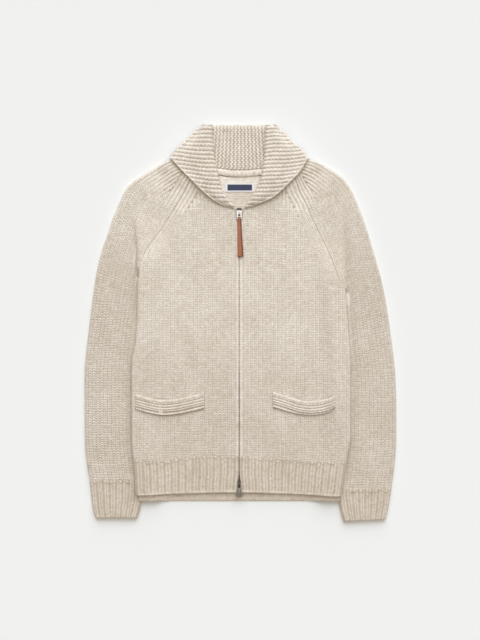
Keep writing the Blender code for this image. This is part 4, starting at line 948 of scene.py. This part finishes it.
def lapel(side):
    turn = COLLAR_WALL + LAPEL_GAP
    shares = np.concatenate([[0, 0.006], np.linspace(0.012, 1, LAPEL_STEPS)])
    upper_shares = np.linspace(0, 1, UPPER_STEPS)
    angles = np.radians(np.linspace(-90, 90, ARC_STEPS))
    rows, yarn_rows, u_rows = [], [], []
    for share in shares:
        start, end, on_roll = lapel_row(side, share)
        span = float(np.hypot(*(end - start)))
        way = (end - start) / span
        base = float(soft(LAPEL_BASE, start[1]))
        middle = base + turn
        squeeze = min(0.35 + 65 * share, 1.0) * (1 - 0.4 * max(0, share - 0.96) / 0.04)
        bend = min(turn, 0.35 * span)
        hidden = min(FOLD_BACK, max(span - 2 * SIDE_ROLL, bend + 1))
        past = max(0.0, 1 - (share - CORNER_SHARE) / 0.1)
        edge_r = min(SIDE_ROLL if on_roll else EDGE_ROLL + 3 * past, 0.3 * span)
        distance = np.concatenate([bend + (span - edge_r - bend) * upper_shares[1:],
                                   span - edge_r * np.array([0.8, 0.6, 0.4, 0.22, 0.1, 0.03, 0])])
        x, y = start[0] + way[0] * distance, start[1] + way[1] * distance
        rest = ground(x, y, on_sleeve=True) + FLAT + 0.5
        near = 1 - step(distance, hidden + 1, hidden + 1 + 0.75 * (span - hidden - 1))
        inset = span - distance
        low = 2 * SIDE_ROLL - COLLAR_WALL
        low = low + (rest - 2 * SIDE_ROLL + COLLAR_WALL) * min(share / CORNER_SHARE, 1)
        lies = low + (np.maximum(rest, low) - low) * step(inset, 10, 34)
        lies = lies if on_roll else rest
        under = lies + (base + 2 * turn - COLLAR_WALL - lies) * near
        under = under if on_roll else np.maximum(under, rest)
        full = rounded(inset, edge_r)
        floor = FALL_LEVEL + (STAND_LEVEL + COLLAR_WALL + 0.5 - FALL_LEVEL) * (
            1 - step(np.abs(x - ZIP_X), STAND_HALF + 3, STAND_HALF + 17))
        sunk = (floor + (under + COLLAR_WALL - floor) * full if on_roll
                else under + COLLAR_WALL - edge_r * (1 - full))
        ridge_place = share * LAPEL_RIDGES[side]
        arc_length = turn * (angles + math.pi / 2)
        u = np.concatenate([[-10.0], arc_length - 8, distance - bend + turn * math.pi - 8])
        wobble = 0.16 * np.sin(u / 17 + 2.6 * share + WOBBLE_START[side]) * step(u, 0, 30)
        yarn = garter(u / COLUMN, ridge_place + wobble)
        relief = GARTER_DEPTH * (yarn - 0.72)
        selvedge = np.exp(-((u - u[-1] + 3.2) / 1.6) ** 2)
        relief = relief * (1 - 0.8 * selvedge) + 0.5 * selvedge
        yarn = np.maximum(np.maximum(yarn, 0.9 * selvedge), 0.8 * float(step(share, 0.03, 0.012)))
        on_arc = 1 + relief[1:ARC_STEPS + 1] / turn * step(angles, -0.4, 0.5)
        arc_d, arc_z = bend - bend * np.cos(angles) * on_arc, middle + turn * np.sin(angles) * on_arc
        flat_relief = relief[ARC_STEPS + 1:] * full
        d = np.concatenate([[hidden], arc_d, distance])
        z = np.concatenate([[base], arc_z, sunk + flat_relief])
        inner_shares = np.array([0.97, 0.75, 0.5, 0.25, 0.0])
        inner_d = bend + (span - edge_r - bend) * inner_shares
        inner_z = np.interp(inner_d, distance, under)
        d = np.concatenate([d, inner_d, [bend - LAPEL_GAP, bend, hidden]])
        z = np.concatenate([z, inner_z, [middle, base + COLLAR_WALL, base + COLLAR_WALL]])
        z = middle + (z - middle) * squeeze
        rows.append(stack(start[0] + way[0] * d, start[1] + way[1] * d, z))
        yarn_rows.append(np.concatenate([yarn, np.full(len(d) - len(u), 0.6)]))
        u_rows.append(np.concatenate([u, np.linspace(u[-1] + 4, u[-1] + 60, len(d) - len(u))]))
    rows, yarn_rows, u_rows = np.array(rows), np.array(yarn_rows), np.array(u_rows)
    heights = np.concatenate([yarn_rows, yarn_rows[:, -1:]], 1)
    flat_u = np.concatenate([u_rows, u_rows[:, -1:] + 6], 1)
    return rolled(f"lapel_{side}", closed(rows), uv_of(flat_u, shares[:, None] * LAPEL_RUN), heights,
                  WOOL_GARTER, f"collar_{side}")


for side in SIDES:
    lapel(side)

# %% The stand, the top fold and the fall behind
STAND_PITCH, RIDGE_PITCH = 7.4, 8.0     # a column of the zigzag, and one swing of it
BIND_OFF, LUMP_PITCH = 13, 8.2          # the thick lower edge, and the lumps of its stitches
STAND_SHOWN, COARSE = 52, 2.6           # half the part that shows, and the grid's step beyond it
FALL_SHARES = (0.15, 0.27, 0.4, 0.52, 0.65, 0.77, 0.9, 1.0)
FALL_EDGE = 1.2                         # how much its free edge is rounded off


def collar_back():
    half = STAND_SHOWN
    across = ZIP_X + spaced((-STAND_HALF, -half, COARSE), (-half, half, STAND_PITCH / 8),
                            (half, STAND_HALF + 0.1, COARSE))
    offset = across - ZIP_X
    radius = (STAND_LEVEL + COLLAR_WALL) / 2
    fold_y = COLLAR_TOP - 5 * step(np.abs(offset), half, STAND_HALF)
    edge = np.where(offset < 0, float(panel_edge("left", BACK_TOP)), float(panel_edge("right", BACK_TOP)))
    bottom = STAND_Y + (BACK_TOP + SEAM - STAND_Y) * (offset / (edge - ZIP_X)) ** 2
    climb = np.concatenate([np.linspace(0, BIND_OFF + 3, 15), np.arange(BIND_OFF + 4, 97, 0.95)])
    outer, yarns, flat_v = [], [], []
    height = COLLAR_TOP - radius - STAND_Y
    angles = np.radians(np.concatenate([np.linspace(90, -60, 22), [-90]]))
    wide = 1 + 0.16 * (1 - np.linspace(0, 1, len(climb)))
    for k, inset in enumerate(climb):
        y = bottom + inset * (fold_y - radius - bottom) / height
        clear = np.minimum(across - soft(LAPEL_INNER["left"], y), soft(LAPEL_INNER["right"], y) - across)
        shows = step(clear, -4, 3)
        yarn = zigzag(offset / (STAND_PITCH * wide[k] * 0.93), inset / RIDGE_PITCH)
        bind = float(step(inset, BIND_OFF + 3.2, BIND_OFF + 0.2))
        smooth = math.sqrt(max(0.0, 1 - ((inset - BIND_OFF / 2) / (BIND_OFF / 2 + 0.3)) ** 2))
        lump = cycle(offset / LUMP_PITCH + 0.35 * inset / BIND_OFF)
        relief = (2.8 * (yarn - 0.6)) * (1 - bind) + (3.4 * smooth - 2.1 + 0.55 * lump) * bind
        outer.append(stack(across, y, STAND_LEVEL + COLLAR_WALL + relief * shows))
        bound_yarn = np.clip(0.1 + 0.75 * smooth + 0.12 * lump, 0, 1)
        # the stand's yarn is lowered, which deepens its painted groove shade
        yarns.append(0.84 * yarn * (1 - bind) + bound_yarn * bind)
        flat_v.append(inset)
    for angle in angles[1:]:
        run = climb[-1] + radius * (math.pi / 2 - angle)
        yarn = zigzag(offset / (STAND_PITCH * 0.93), run / RIDGE_PITCH)
        out = radius + 1.9 * (yarn - 0.7) * step(angle, -1.2, -0.5) * step(STAND_HALF - np.abs(offset), 0, 8)
        outer.append(stack(across, fold_y - radius + out * math.cos(angle),
                           radius + out * math.sin(angle)))
        yarns.append(yarn)
        flat_v.append(run)
    left, right = COLLAR_ROLL["left"], COLLAR_ROLL["right"]
    fan = ((across - across[0]) / (across[-1] - across[0]))[:, None]
    turn = [math.atan2(p[1] - 2 - FALL_CENTRE_Y, p[0] + inwards * 2 - ZIP_X)
            for p, inwards in ((left[-1], 1), (right[-1], -1))]
    sweep = turn[0] + (turn[1] - turn[0]) * fan[:, 0]
    free = np.stack([ZIP_X + FALL_RADIUS * np.cos(sweep), FALL_CENTRE_Y + FALL_RADIUS * np.sin(sweep)], -1)
    top = np.stack([across, fold_y - radius], -1)
    lines = [[tuple(top[0])] + [(p[0] + 2, p[1] - 2) for p in left[2:]],
             [tuple(top[-1])] + [(p[0] - 2, p[1] - 2) for p in right[2:]]]
    for share in FALL_SHARES:
        west, east = along(lines[0], share), along(lines[1], share)
        corners = ((top[0] + (free[0] - top[0]) * share) * (1 - fan)
                   + (top[-1] + (free[-1] - top[-1]) * share) * fan)
        place = west + (east - west) * fan + top + (free - top) * share - corners
        outer.append(stack(place[:, 0], place[:, 1], FALL_EDGE * (share == 1)))
        yarns.append(np.full(len(across), 0.6))
        flat_v.append(flat_v[-1] + 12)
    outer = np.array(outer)
    fall = outer[-len(FALL_SHARES):][::-1].copy()
    fall[..., 2] = COLLAR_WALL
    fall[0, :, 2] = COLLAR_WALL - FALL_EDGE
    small = radius - COLLAR_WALL
    inner_fold = np.array([
        stack(across, fold_y - radius + small * math.cos(a), radius + small * math.sin(a))
        for a in np.radians([-90, -30, 30, 90])])
    inner_stand = np.array([stack(across, outer[k][:, 1], STAND_LEVEL) for k in (60, 30, 0)])
    inner = np.concatenate([fall, inner_fold, inner_stand])
    places = np.concatenate([outer, inner, outer[:1]])
    heights = np.concatenate([np.array(yarns), np.full((len(inner) + 1, len(across)), 0.6)])
    flat_v = np.concatenate([flat_v, flat_v[-1] + 8.0 * np.arange(1, len(inner) + 2)])
    return rolled("collar_stand_and_fall", places, uv_of(offset[None, :], flat_v[:, None]), heights,
                  WOOL_GARTER, "collar_back")


collar_back()

# %% [markdown]
# ## Pocket welts
# A welt is a narrow garter band sewn over the pocket's mouth at its two ends, so it stands a little
# proud of the front. Its cast-off top edge is the brightest line, and the pocket's own edge shows as
# a second band under its lowest ridge.

# %% Left and right welt
WELT = {    # x and the top and bottom edge there
    "left": ((-208, -142, -171), (-181, -149, -179), (-154, -154, -184), (-130, -152, -183),
             (-100, -146, -178), (-71.5, -139, -171)),
    "right": ((64.5, -137, -168), (82, -142, -173), (100, -148, -178), (120, -154, -182),
              (140, -156, -184), (160, -154, -182), (178, -149, -177), (189, -143, -169)),
}
WELT_WALL, WELT_PITCH = 3.4, 5.4
WELT_COLUMNS, WELT_ROWS = 128, 46
SECOND_BAND = 23.8                      # where the pocket's own edge starts, under a dark line
UNDER_PICK = [-1, 96, 64, 32, 0]        # columns that its flat underside keeps


def welt(side):
    table = WELT[side]
    x = np.linspace(table[0][0], table[-1][0], WELT_COLUMNS)[None, :]
    share = np.linspace(0, 1, WELT_ROWS)[:, None]
    top, low = soft(table, x, 0, 1), soft(table, x, 0, 2)
    y = top + (low - top) * share
    down = (top - low) * share
    yarn = garter(x / COLUMN, (down - 1.5) / WELT_PITCH)
    band = step(down, 6.5, 4.5)
    yarn = yarn * (1 - band) + band * (0.75 + 0.25 * cycle(x / 4.2))
    # the groove over the pocket's own edge, darkened in colour too: painted shade
    dark = np.exp(-((down - SECOND_BAND) / 0.9) ** 2)
    edges = np.minimum(rounded((top - low) - down, 1.6), rounded(down, 1.8))
    ends = np.minimum(rounded(x - x.min(), 1.5), rounded(x.max() - x, 1.5))
    base = ground(x, y) + FLAT + 0.8 + waves(x, y) * 0.8
    relief = 2.1 * (yarn - 0.6) - 1.3 * dark + 0.7 * band
    z = base + 0.4 + (WELT_WALL - 0.4 + relief) * np.minimum(edges, ends)
    upper = stack(x, y, z)
    places = closed(upper, stack(x, y, base)[:, UNDER_PICK])
    # the groove's painted shade goes into the yarn's height
    heights = with_hidden(np.maximum(yarn - dark, 0), places.shape[1], HIDDEN_YARN)
    flat_u = np.concatenate([x[0], x[0, UNDER_PICK + [0]] + 200])[None, :]
    return rolled(f"pocket_welt_{side}", places, uv_of(flat_u, -down[:, :1]), heights, WOOL_GARTER,
                  f"welt_{side}")


for side in SIDES:
    welt(side)

# %% [markdown]
# ## The zip
# The tapes are woven in a herringbone, so under the front edges they show a fine grain.
# The teeth are small blocks moulded on the tapes' edges, alternating left and right. Each is a box
# with bevelled edges, copied along the opening.

# %% Tapes and teeth
TAPE_WIDTH, TAPE_THICK, TAPE_Z = 13, 0.8, 4.85
CHAIN_WIDTH, CHAIN_LOW, CHAIN_HIGH = 2.2, 4.9, 7.9
ZIP_BOTTOM, ZIP_TOP, TOOTH_PITCH = -334, 226, 2.8
TOOTH_WIDTH, TOOTH_LENGTH, TOOTH_SHIFT = 1.5, 1.15, 0.32


def simple_finish(name, hex_value, roughness, metallic=0.0, grain=0.0, grain_scale=900.0, **settings):
    """A finish of one colour whose surface is broken by a fine grain."""
    made, tree = new_material(name)
    place = node(tree, "ShaderNodeTexCoord")
    noise = node(tree, "ShaderNodeTexNoise", [(0, place, "Object")], Scale=grain_scale, Detail=3.0)
    bump = node(tree, "ShaderNodeBump", [("Height", noise, 0)], Strength=grain, Distance=0.0004)
    skin = node(tree, "ShaderNodeBsdfPrincipled", [("Normal", bump, 0)], Roughness=roughness,
                Metallic=metallic, **settings)
    skin.inputs["Base Color"].default_value = colour(hex_value)
    node(tree, "ShaderNodeOutputMaterial", [("Surface", skin, 0)])
    return made


NICKEL = simple_finish("brushed_nickel_plate", "#D6D3CE", 0.28, 1.0, 0.12)
# the bottom pull and slider are a darker metal than the top ones
DARKER_PULL_METAL = simple_finish("darker_nickel", "#7D7872", 0.36, 1.0, 0.12)
GUNMETAL = simple_finish("dark_zip_metal", "#8A8178", 0.45, 1.0, 0.1)
DARKER_SLIDER_METAL = simple_finish("darker_slider_metal", "#57514A", 0.42, 1.0, 0.1)
TAPE = simple_finish("zip_tape_twill", "#CDBFAE", 0.9, 0.0, 0.8, 1400.0, Sheen_Weight=0.2)


def tan_cowhide():
    """Vegetable-tanned leather: fine pores, and one side of the strip darker, which is painted shade."""
    made, tree = new_material("tan_cowhide")
    place = node(tree, "ShaderNodeTexCoord")
    pores = node(tree, "ShaderNodeTexVoronoi", [(0, place, "Object")], Scale=1100.0)
    mottle = node(tree, "ShaderNodeTexNoise", [(0, place, "Object")], Scale=160.0, Detail=3.0)
    # painted shade: the yarn attribute darkens one side of the strip
    flank = node(tree, "ShaderNodeAttribute", attribute_name="yarn")
    hide = node(tree, "ShaderNodeMix", [("Factor", flank, "Fac")], data_type="RGBA")
    hide.inputs[6].default_value, hide.inputs[7].default_value = colour("#744023"), colour("#B47350")
    worn = node(tree, "ShaderNodeMix", [("Factor", mottle, 0), (6, hide, 2)], data_type="RGBA",
                blend_type="MULTIPLY")
    worn.inputs[7].default_value = colour("#D8C8BC")
    bump = node(tree, "ShaderNodeBump", [("Height", pores, 0)], Strength=0.4, Distance=0.0003)
    skin = node(tree, "ShaderNodeBsdfPrincipled", [("Base Color", worn, 2), ("Normal", bump, 0)],
                Roughness=0.5)
    node(tree, "ShaderNodeOutputMaterial", [("Surface", skin, 0)])
    return made


TAN = tan_cowhide()
NAVY = simple_finish("navy_damask", "#363D55", 0.75, 0.0, 0.9, 1500.0, Sheen_Weight=0.3)
WHITE_BORDER = simple_finish("white_damask_border", "#E9E7E6", 0.8, 0.0, 0.9, 1500.0)


def zip_tape(side):
    y = np.linspace(ZIP_BOTTOM, ZIP_TOP + 8, 90)[:, None]
    x = ZIP_X + SIDES[side] * (CHAIN_WIDTH / 2 + SEAM + np.array([[0, 2, 5, 9, TAPE_WIDTH]]))
    places = strip(x, y, ground(x, y) + TAPE_Z, TAPE_THICK)
    return rolled(f"zip_tape_{side}_woven", places, uv_as_laid(places),
                  np.ones(places.shape[:2]), TAPE, f"zip_tape_{side}")


def bevelled(mesh, edges, width, segments, clamp=False):
    bmesh.ops.bevel(mesh, geom=edges, offset=width, offset_type="OFFSET", affect="EDGES",
                    segments=segments, profile=0.5, material=-1, clamp_overlap=clamp)


def add_object(name, mesh, finish, node_name, body="garment"):
    bmesh.ops.recalc_face_normals(mesh, faces=mesh.faces)
    data = bpy.data.meshes.new(name)
    mesh.to_mesh(data)
    mesh.free()
    data.shade_smooth()
    data.set_sharp_from_angle(angle=math.radians(50))
    data.materials.append(finish)
    piece = bpy.data.objects.new(name, data)
    bpy.context.scene.collection.objects.link(piece)
    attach(piece, body)
    if node_name:
        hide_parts(node_name)
    print(name, "has", triangles_of(data), "triangles")
    return piece


def teeth():
    mesh = bmesh.new()
    for number, y in enumerate(np.arange(ZIP_BOTTOM + 2, ZIP_TOP - 1, TOOTH_PITCH / 2)):
        sign = 1 if number % 2 else -1
        tooth = bmesh.new()
        bmesh.ops.create_cube(tooth, size=1.0)
        bmesh.ops.scale(tooth, verts=tooth.verts,
                        vec=(TOOTH_WIDTH * MM, TOOTH_LENGTH * MM, (CHAIN_HIGH - CHAIN_LOW) * MM))
        bevelled(tooth, tooth.edges[:], 0.25 * MM, 1)
        low = float(ground(ZIP_X, y)) + CHAIN_LOW
        place = np.array([ZIP_X + sign * TOOTH_SHIFT, y, low + (CHAIN_HIGH - CHAIN_LOW) / 2]) - ORIGIN
        bmesh.ops.translate(tooth, verts=tooth.verts, vec=place * MM)
        part = bpy.data.meshes.new("tooth")
        tooth.to_mesh(part)
        tooth.free()
        mesh.from_mesh(part)
        bpy.data.meshes.remove(part)
    return add_object("zip_teeth", mesh, GUNMETAL, "zip_chain")


for side in SIDES:
    zip_tape(side)
teeth()

# %% [markdown]
# ## Sliders, pulls and label
# The metal pieces were cast and tumbled, so none of their edges is sharp. Their outlines come from
# the frame, whose triangles are merged into flat faces and then bevelled by a fraction of a
# millimetre. A bevel catches the light along every edge, which is what makes small metal read as metal.

# %% Metal pieces from the frame's outlines
MOUTH_Y = 224.6
# painted shade: a darker metal on the slider's mouth, where the two tapes enter
PAINTED_SHADE_MOUTH_METAL = simple_finish("shadowed_slider_mouth", "#5A554E", 0.5, 1.0, 0.1)


def softened(node_name, finish, width, body, segments=3, narrow=1.0):
    """A copy of a frame's piece whose sharp edges are rounded; narrow squeezes it across."""
    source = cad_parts[node_name]
    mesh = bmesh.new()
    mesh.from_mesh(source.data)
    mesh.transform(source.matrix_world)
    bmesh.ops.remove_doubles(mesh, verts=mesh.verts, dist=NO_LENGTH)
    middle = (ZIP_X - ORIGIN[0]) * MM
    for vertex in mesh.verts:
        vertex.co.x = middle + (vertex.co.x - middle) * narrow
    bmesh.ops.dissolve_limit(mesh, angle_limit=math.radians(1), verts=mesh.verts, edges=mesh.edges)
    if node_name == "slider_top":
        bmesh.ops.bisect_plane(mesh, geom=mesh.verts[:] + mesh.edges[:] + mesh.faces[:],
                               plane_co=(0, MOUTH_Y * MM, 0), plane_no=(0, 1, 0))
    sharp = [e for e in mesh.edges
             if len(e.link_faces) == 2 and e.calc_face_angle() > math.radians(35)]
    bevelled(mesh, sharp, width * MM, segments, clamp=True)
    return add_object(f"{node_name}_finished", mesh, finish, node_name, body)


top_slider = softened("slider_top", NICKEL, 0.5, "garment")
softened("slider_bottom", DARKER_SLIDER_METAL, 0.4, "garment", narrow=0.62)
softened("pull_top", NICKEL, 0.35, "top_pull")
softened("pull_bottom", DARKER_PULL_METAL, 0.35, "bottom_pull", narrow=0.9)
top_slider.data.materials.append(PAINTED_SHADE_MOUTH_METAL)
for face in top_slider.data.polygons:   # the end where the two tapes enter is in shadow
    face.material_index = int(face.center.y > MOUTH_Y * MM)

# %% The leather tag
PIVOT_Z, LEATHER_END, LEATHER_START, LEATHER_THICK = 14.2, 132, 206, 1.5
BAR_Y, BAR_RADIUS, BAR_START = 207.75, 1.35, 206.5
STRIP_PLACES = [-0.5, -0.485, -0.44, -0.2, 0.1, 0.22, 0.36, 0.46, 0.49, 0.5]


def leather_tag():
    """A strip folded round the pull's end bar, so both its ends lie on each other and swing aside."""
    gaps = [LEATHER_END, 192, 199, BAR_START], [0.15, 0.15, 0.5, BAR_RADIUS]
    straight = [(y, float(np.interp(y, *gaps))) for y in np.linspace(LEATHER_END, BAR_START, 34)]
    path = [(y, -gap, -1.0, 0.0) for y, gap in straight]
    turns = np.radians(np.linspace(-75, 75, 9))
    path += [(BAR_Y + BAR_RADIUS * math.cos(a), BAR_RADIUS * math.sin(a), math.sin(a), math.cos(a))
             for a in turns]
    path += [(y, gap, 1.0, 0.0) for y, gap in straight[::-1]]
    y, gap, up, ahead = [column[:, None] for column in np.array(path).T]
    width = np.interp(y, [LEATHER_END, 198, 206, 210], [11.6, 8.4, 6.6, 6.2])
    across = np.array([STRIP_PLACES])
    x = ZIP_X + np.interp(y, [LEATHER_END, LEATHER_START], [2.6, 0.2]) + width * across
    edge = np.sqrt(np.clip(1 - (2 * np.abs(across)) ** 14, 0.0, 1)) * 0.85 + 0.15
    drop = 0.5 * step(across, 0.12, 0.45) * (up > 0)
    outer = stack(x, y + ahead * LEATHER_THICK * edge, PIVOT_Z + gap + up * LEATHER_THICK * edge - drop)
    places = closed(outer, stack(x, y, PIVOT_Z + gap)[:, ::-1])
    # painted shade: the strip's right side is darkened
    painted_shade = 1 - 0.9 * step(across, 0.14, 0.34) + 0 * y
    return rolled("leather_tag", places, uv_as_laid(places), closed(painted_shade, painted_shade[:, ::-1]), TAN,
                  "pull_leather", body="top_pull")


leather_tag()

# %% The woven label
LABEL_LOW, LABEL_THICK = 0.9, 0.8       # above the back's wall, clear of its stitches
NAVY_X, NAVY_Y = (-25.5, 23.7), (264, 276)      # the field inside the white border


def woven_label():
    x = np.array([-30.5, -28, -25.4, -15, -1, 12, 23.6, 25.5, 27.5])[None, :]
    y = np.array([261.5, 264, 268, 272, 276, 278.5])[:, None]
    places = strip(x, y, ground(x, y) + WALL + LABEL_LOW, LABEL_THICK)
    made = rolled("label_woven", places, uv_as_laid(places), np.ones(places.shape[:2]),
                  NAVY, "label")
    made.data.materials.append(WHITE_BORDER)
    for face in made.data.polygons:
        x, y = face.center.x / MM + ORIGIN[0], face.center.y / MM + ORIGIN[1]
        inside = NAVY_X[0] < x < NAVY_X[1] and NAVY_Y[0] < y < NAVY_Y[1]
        face.material_index = 0 if inside else 1
    made.data.shade_flat()
    return made


woven_label()

# %% [markdown]
# ## Surface, light and camera
# The cardigan lies on a seamless pale board. A large soft light comes from beyond the collar, from
# less than halfway up, so ridges and edges are lit on their collar side and the shade falls towards
# the hem, where it fades. A weaker one from straight above and a warm, dim sky open the shadows.
# The camera hangs straight above and frames 960 by 1280 mm.

# %% The stage
BOARD_HALF = 3.0                        # metres
VIEW_HEIGHT, LENS, SENSOR = 1.28, 100, 36


def stage_board():
    mesh = bmesh.new()
    bmesh.ops.create_grid(mesh, x_segments=1, y_segments=1, size=BOARD_HALF)
    data = bpy.data.meshes.new("board")
    mesh.to_mesh(data)
    mesh.free()
    finish, tree = new_material("pale_backdrop")
    plain = node(tree, "ShaderNodeBsdfPrincipled", Roughness=0.9)
    plain.inputs["Base Color"].default_value = colour("#F3F3F1")
    plain.inputs["Specular IOR Level"].default_value = 0.1
    node(tree, "ShaderNodeOutputMaterial", [("Surface", plain, 0)])
    data.materials.append(finish)
    board = bpy.data.objects.new("board", data)
    board.location = (0, 0, cad_box[0][2])
    bpy.context.scene.collection.objects.link(board)
    return board


def far_softbox(name, azimuth, elevation, spread, strength, tint="#FFFFFF"):
    """A soft light so far off that it falls evenly; its azimuth is where it comes from."""
    data = bpy.data.lights.new(name, "SUN")
    data.color = colour(tint)[:3]
    data.angle, data.energy = math.radians(spread), strength
    made = bpy.data.objects.new(name, data)
    made.location = (0, 0, 3)
    made.rotation_euler = (0, math.radians(90 - elevation), math.radians(azimuth))
    bpy.context.scene.collection.objects.link(made)
    return made


board = stage_board()
key = far_softbox("key_softbox", azimuth=84, elevation=38, spread=60, strength=2.87, tint="#EBF3FF")
overhead = far_softbox("overhead_softbox", azimuth=0, elevation=90, spread=50, strength=0.7)
world = bpy.data.worlds.new("studio")
world.use_nodes = True
sky = world.node_tree.nodes["Background"]
sky.inputs["Color"].default_value = colour("#FFF1D8")
sky.inputs["Strength"].default_value = 0.29
bpy.context.scene.world = world
bpy.context.scene.view_settings.view_transform = "Standard"

camera_data = bpy.data.cameras.new("overhead")
camera_data.lens, camera_data.sensor_width = LENS, SENSOR
camera_data.sensor_fit = "VERTICAL"
camera_data.sensor_height = SENSOR
camera = bpy.data.objects.new("overhead", camera_data)
camera.location = (-0.0009, 0.0062, VIEW_HEIGHT * LENS / SENSOR)
bpy.context.scene.collection.objects.link(camera)
bpy.context.scene.camera = camera
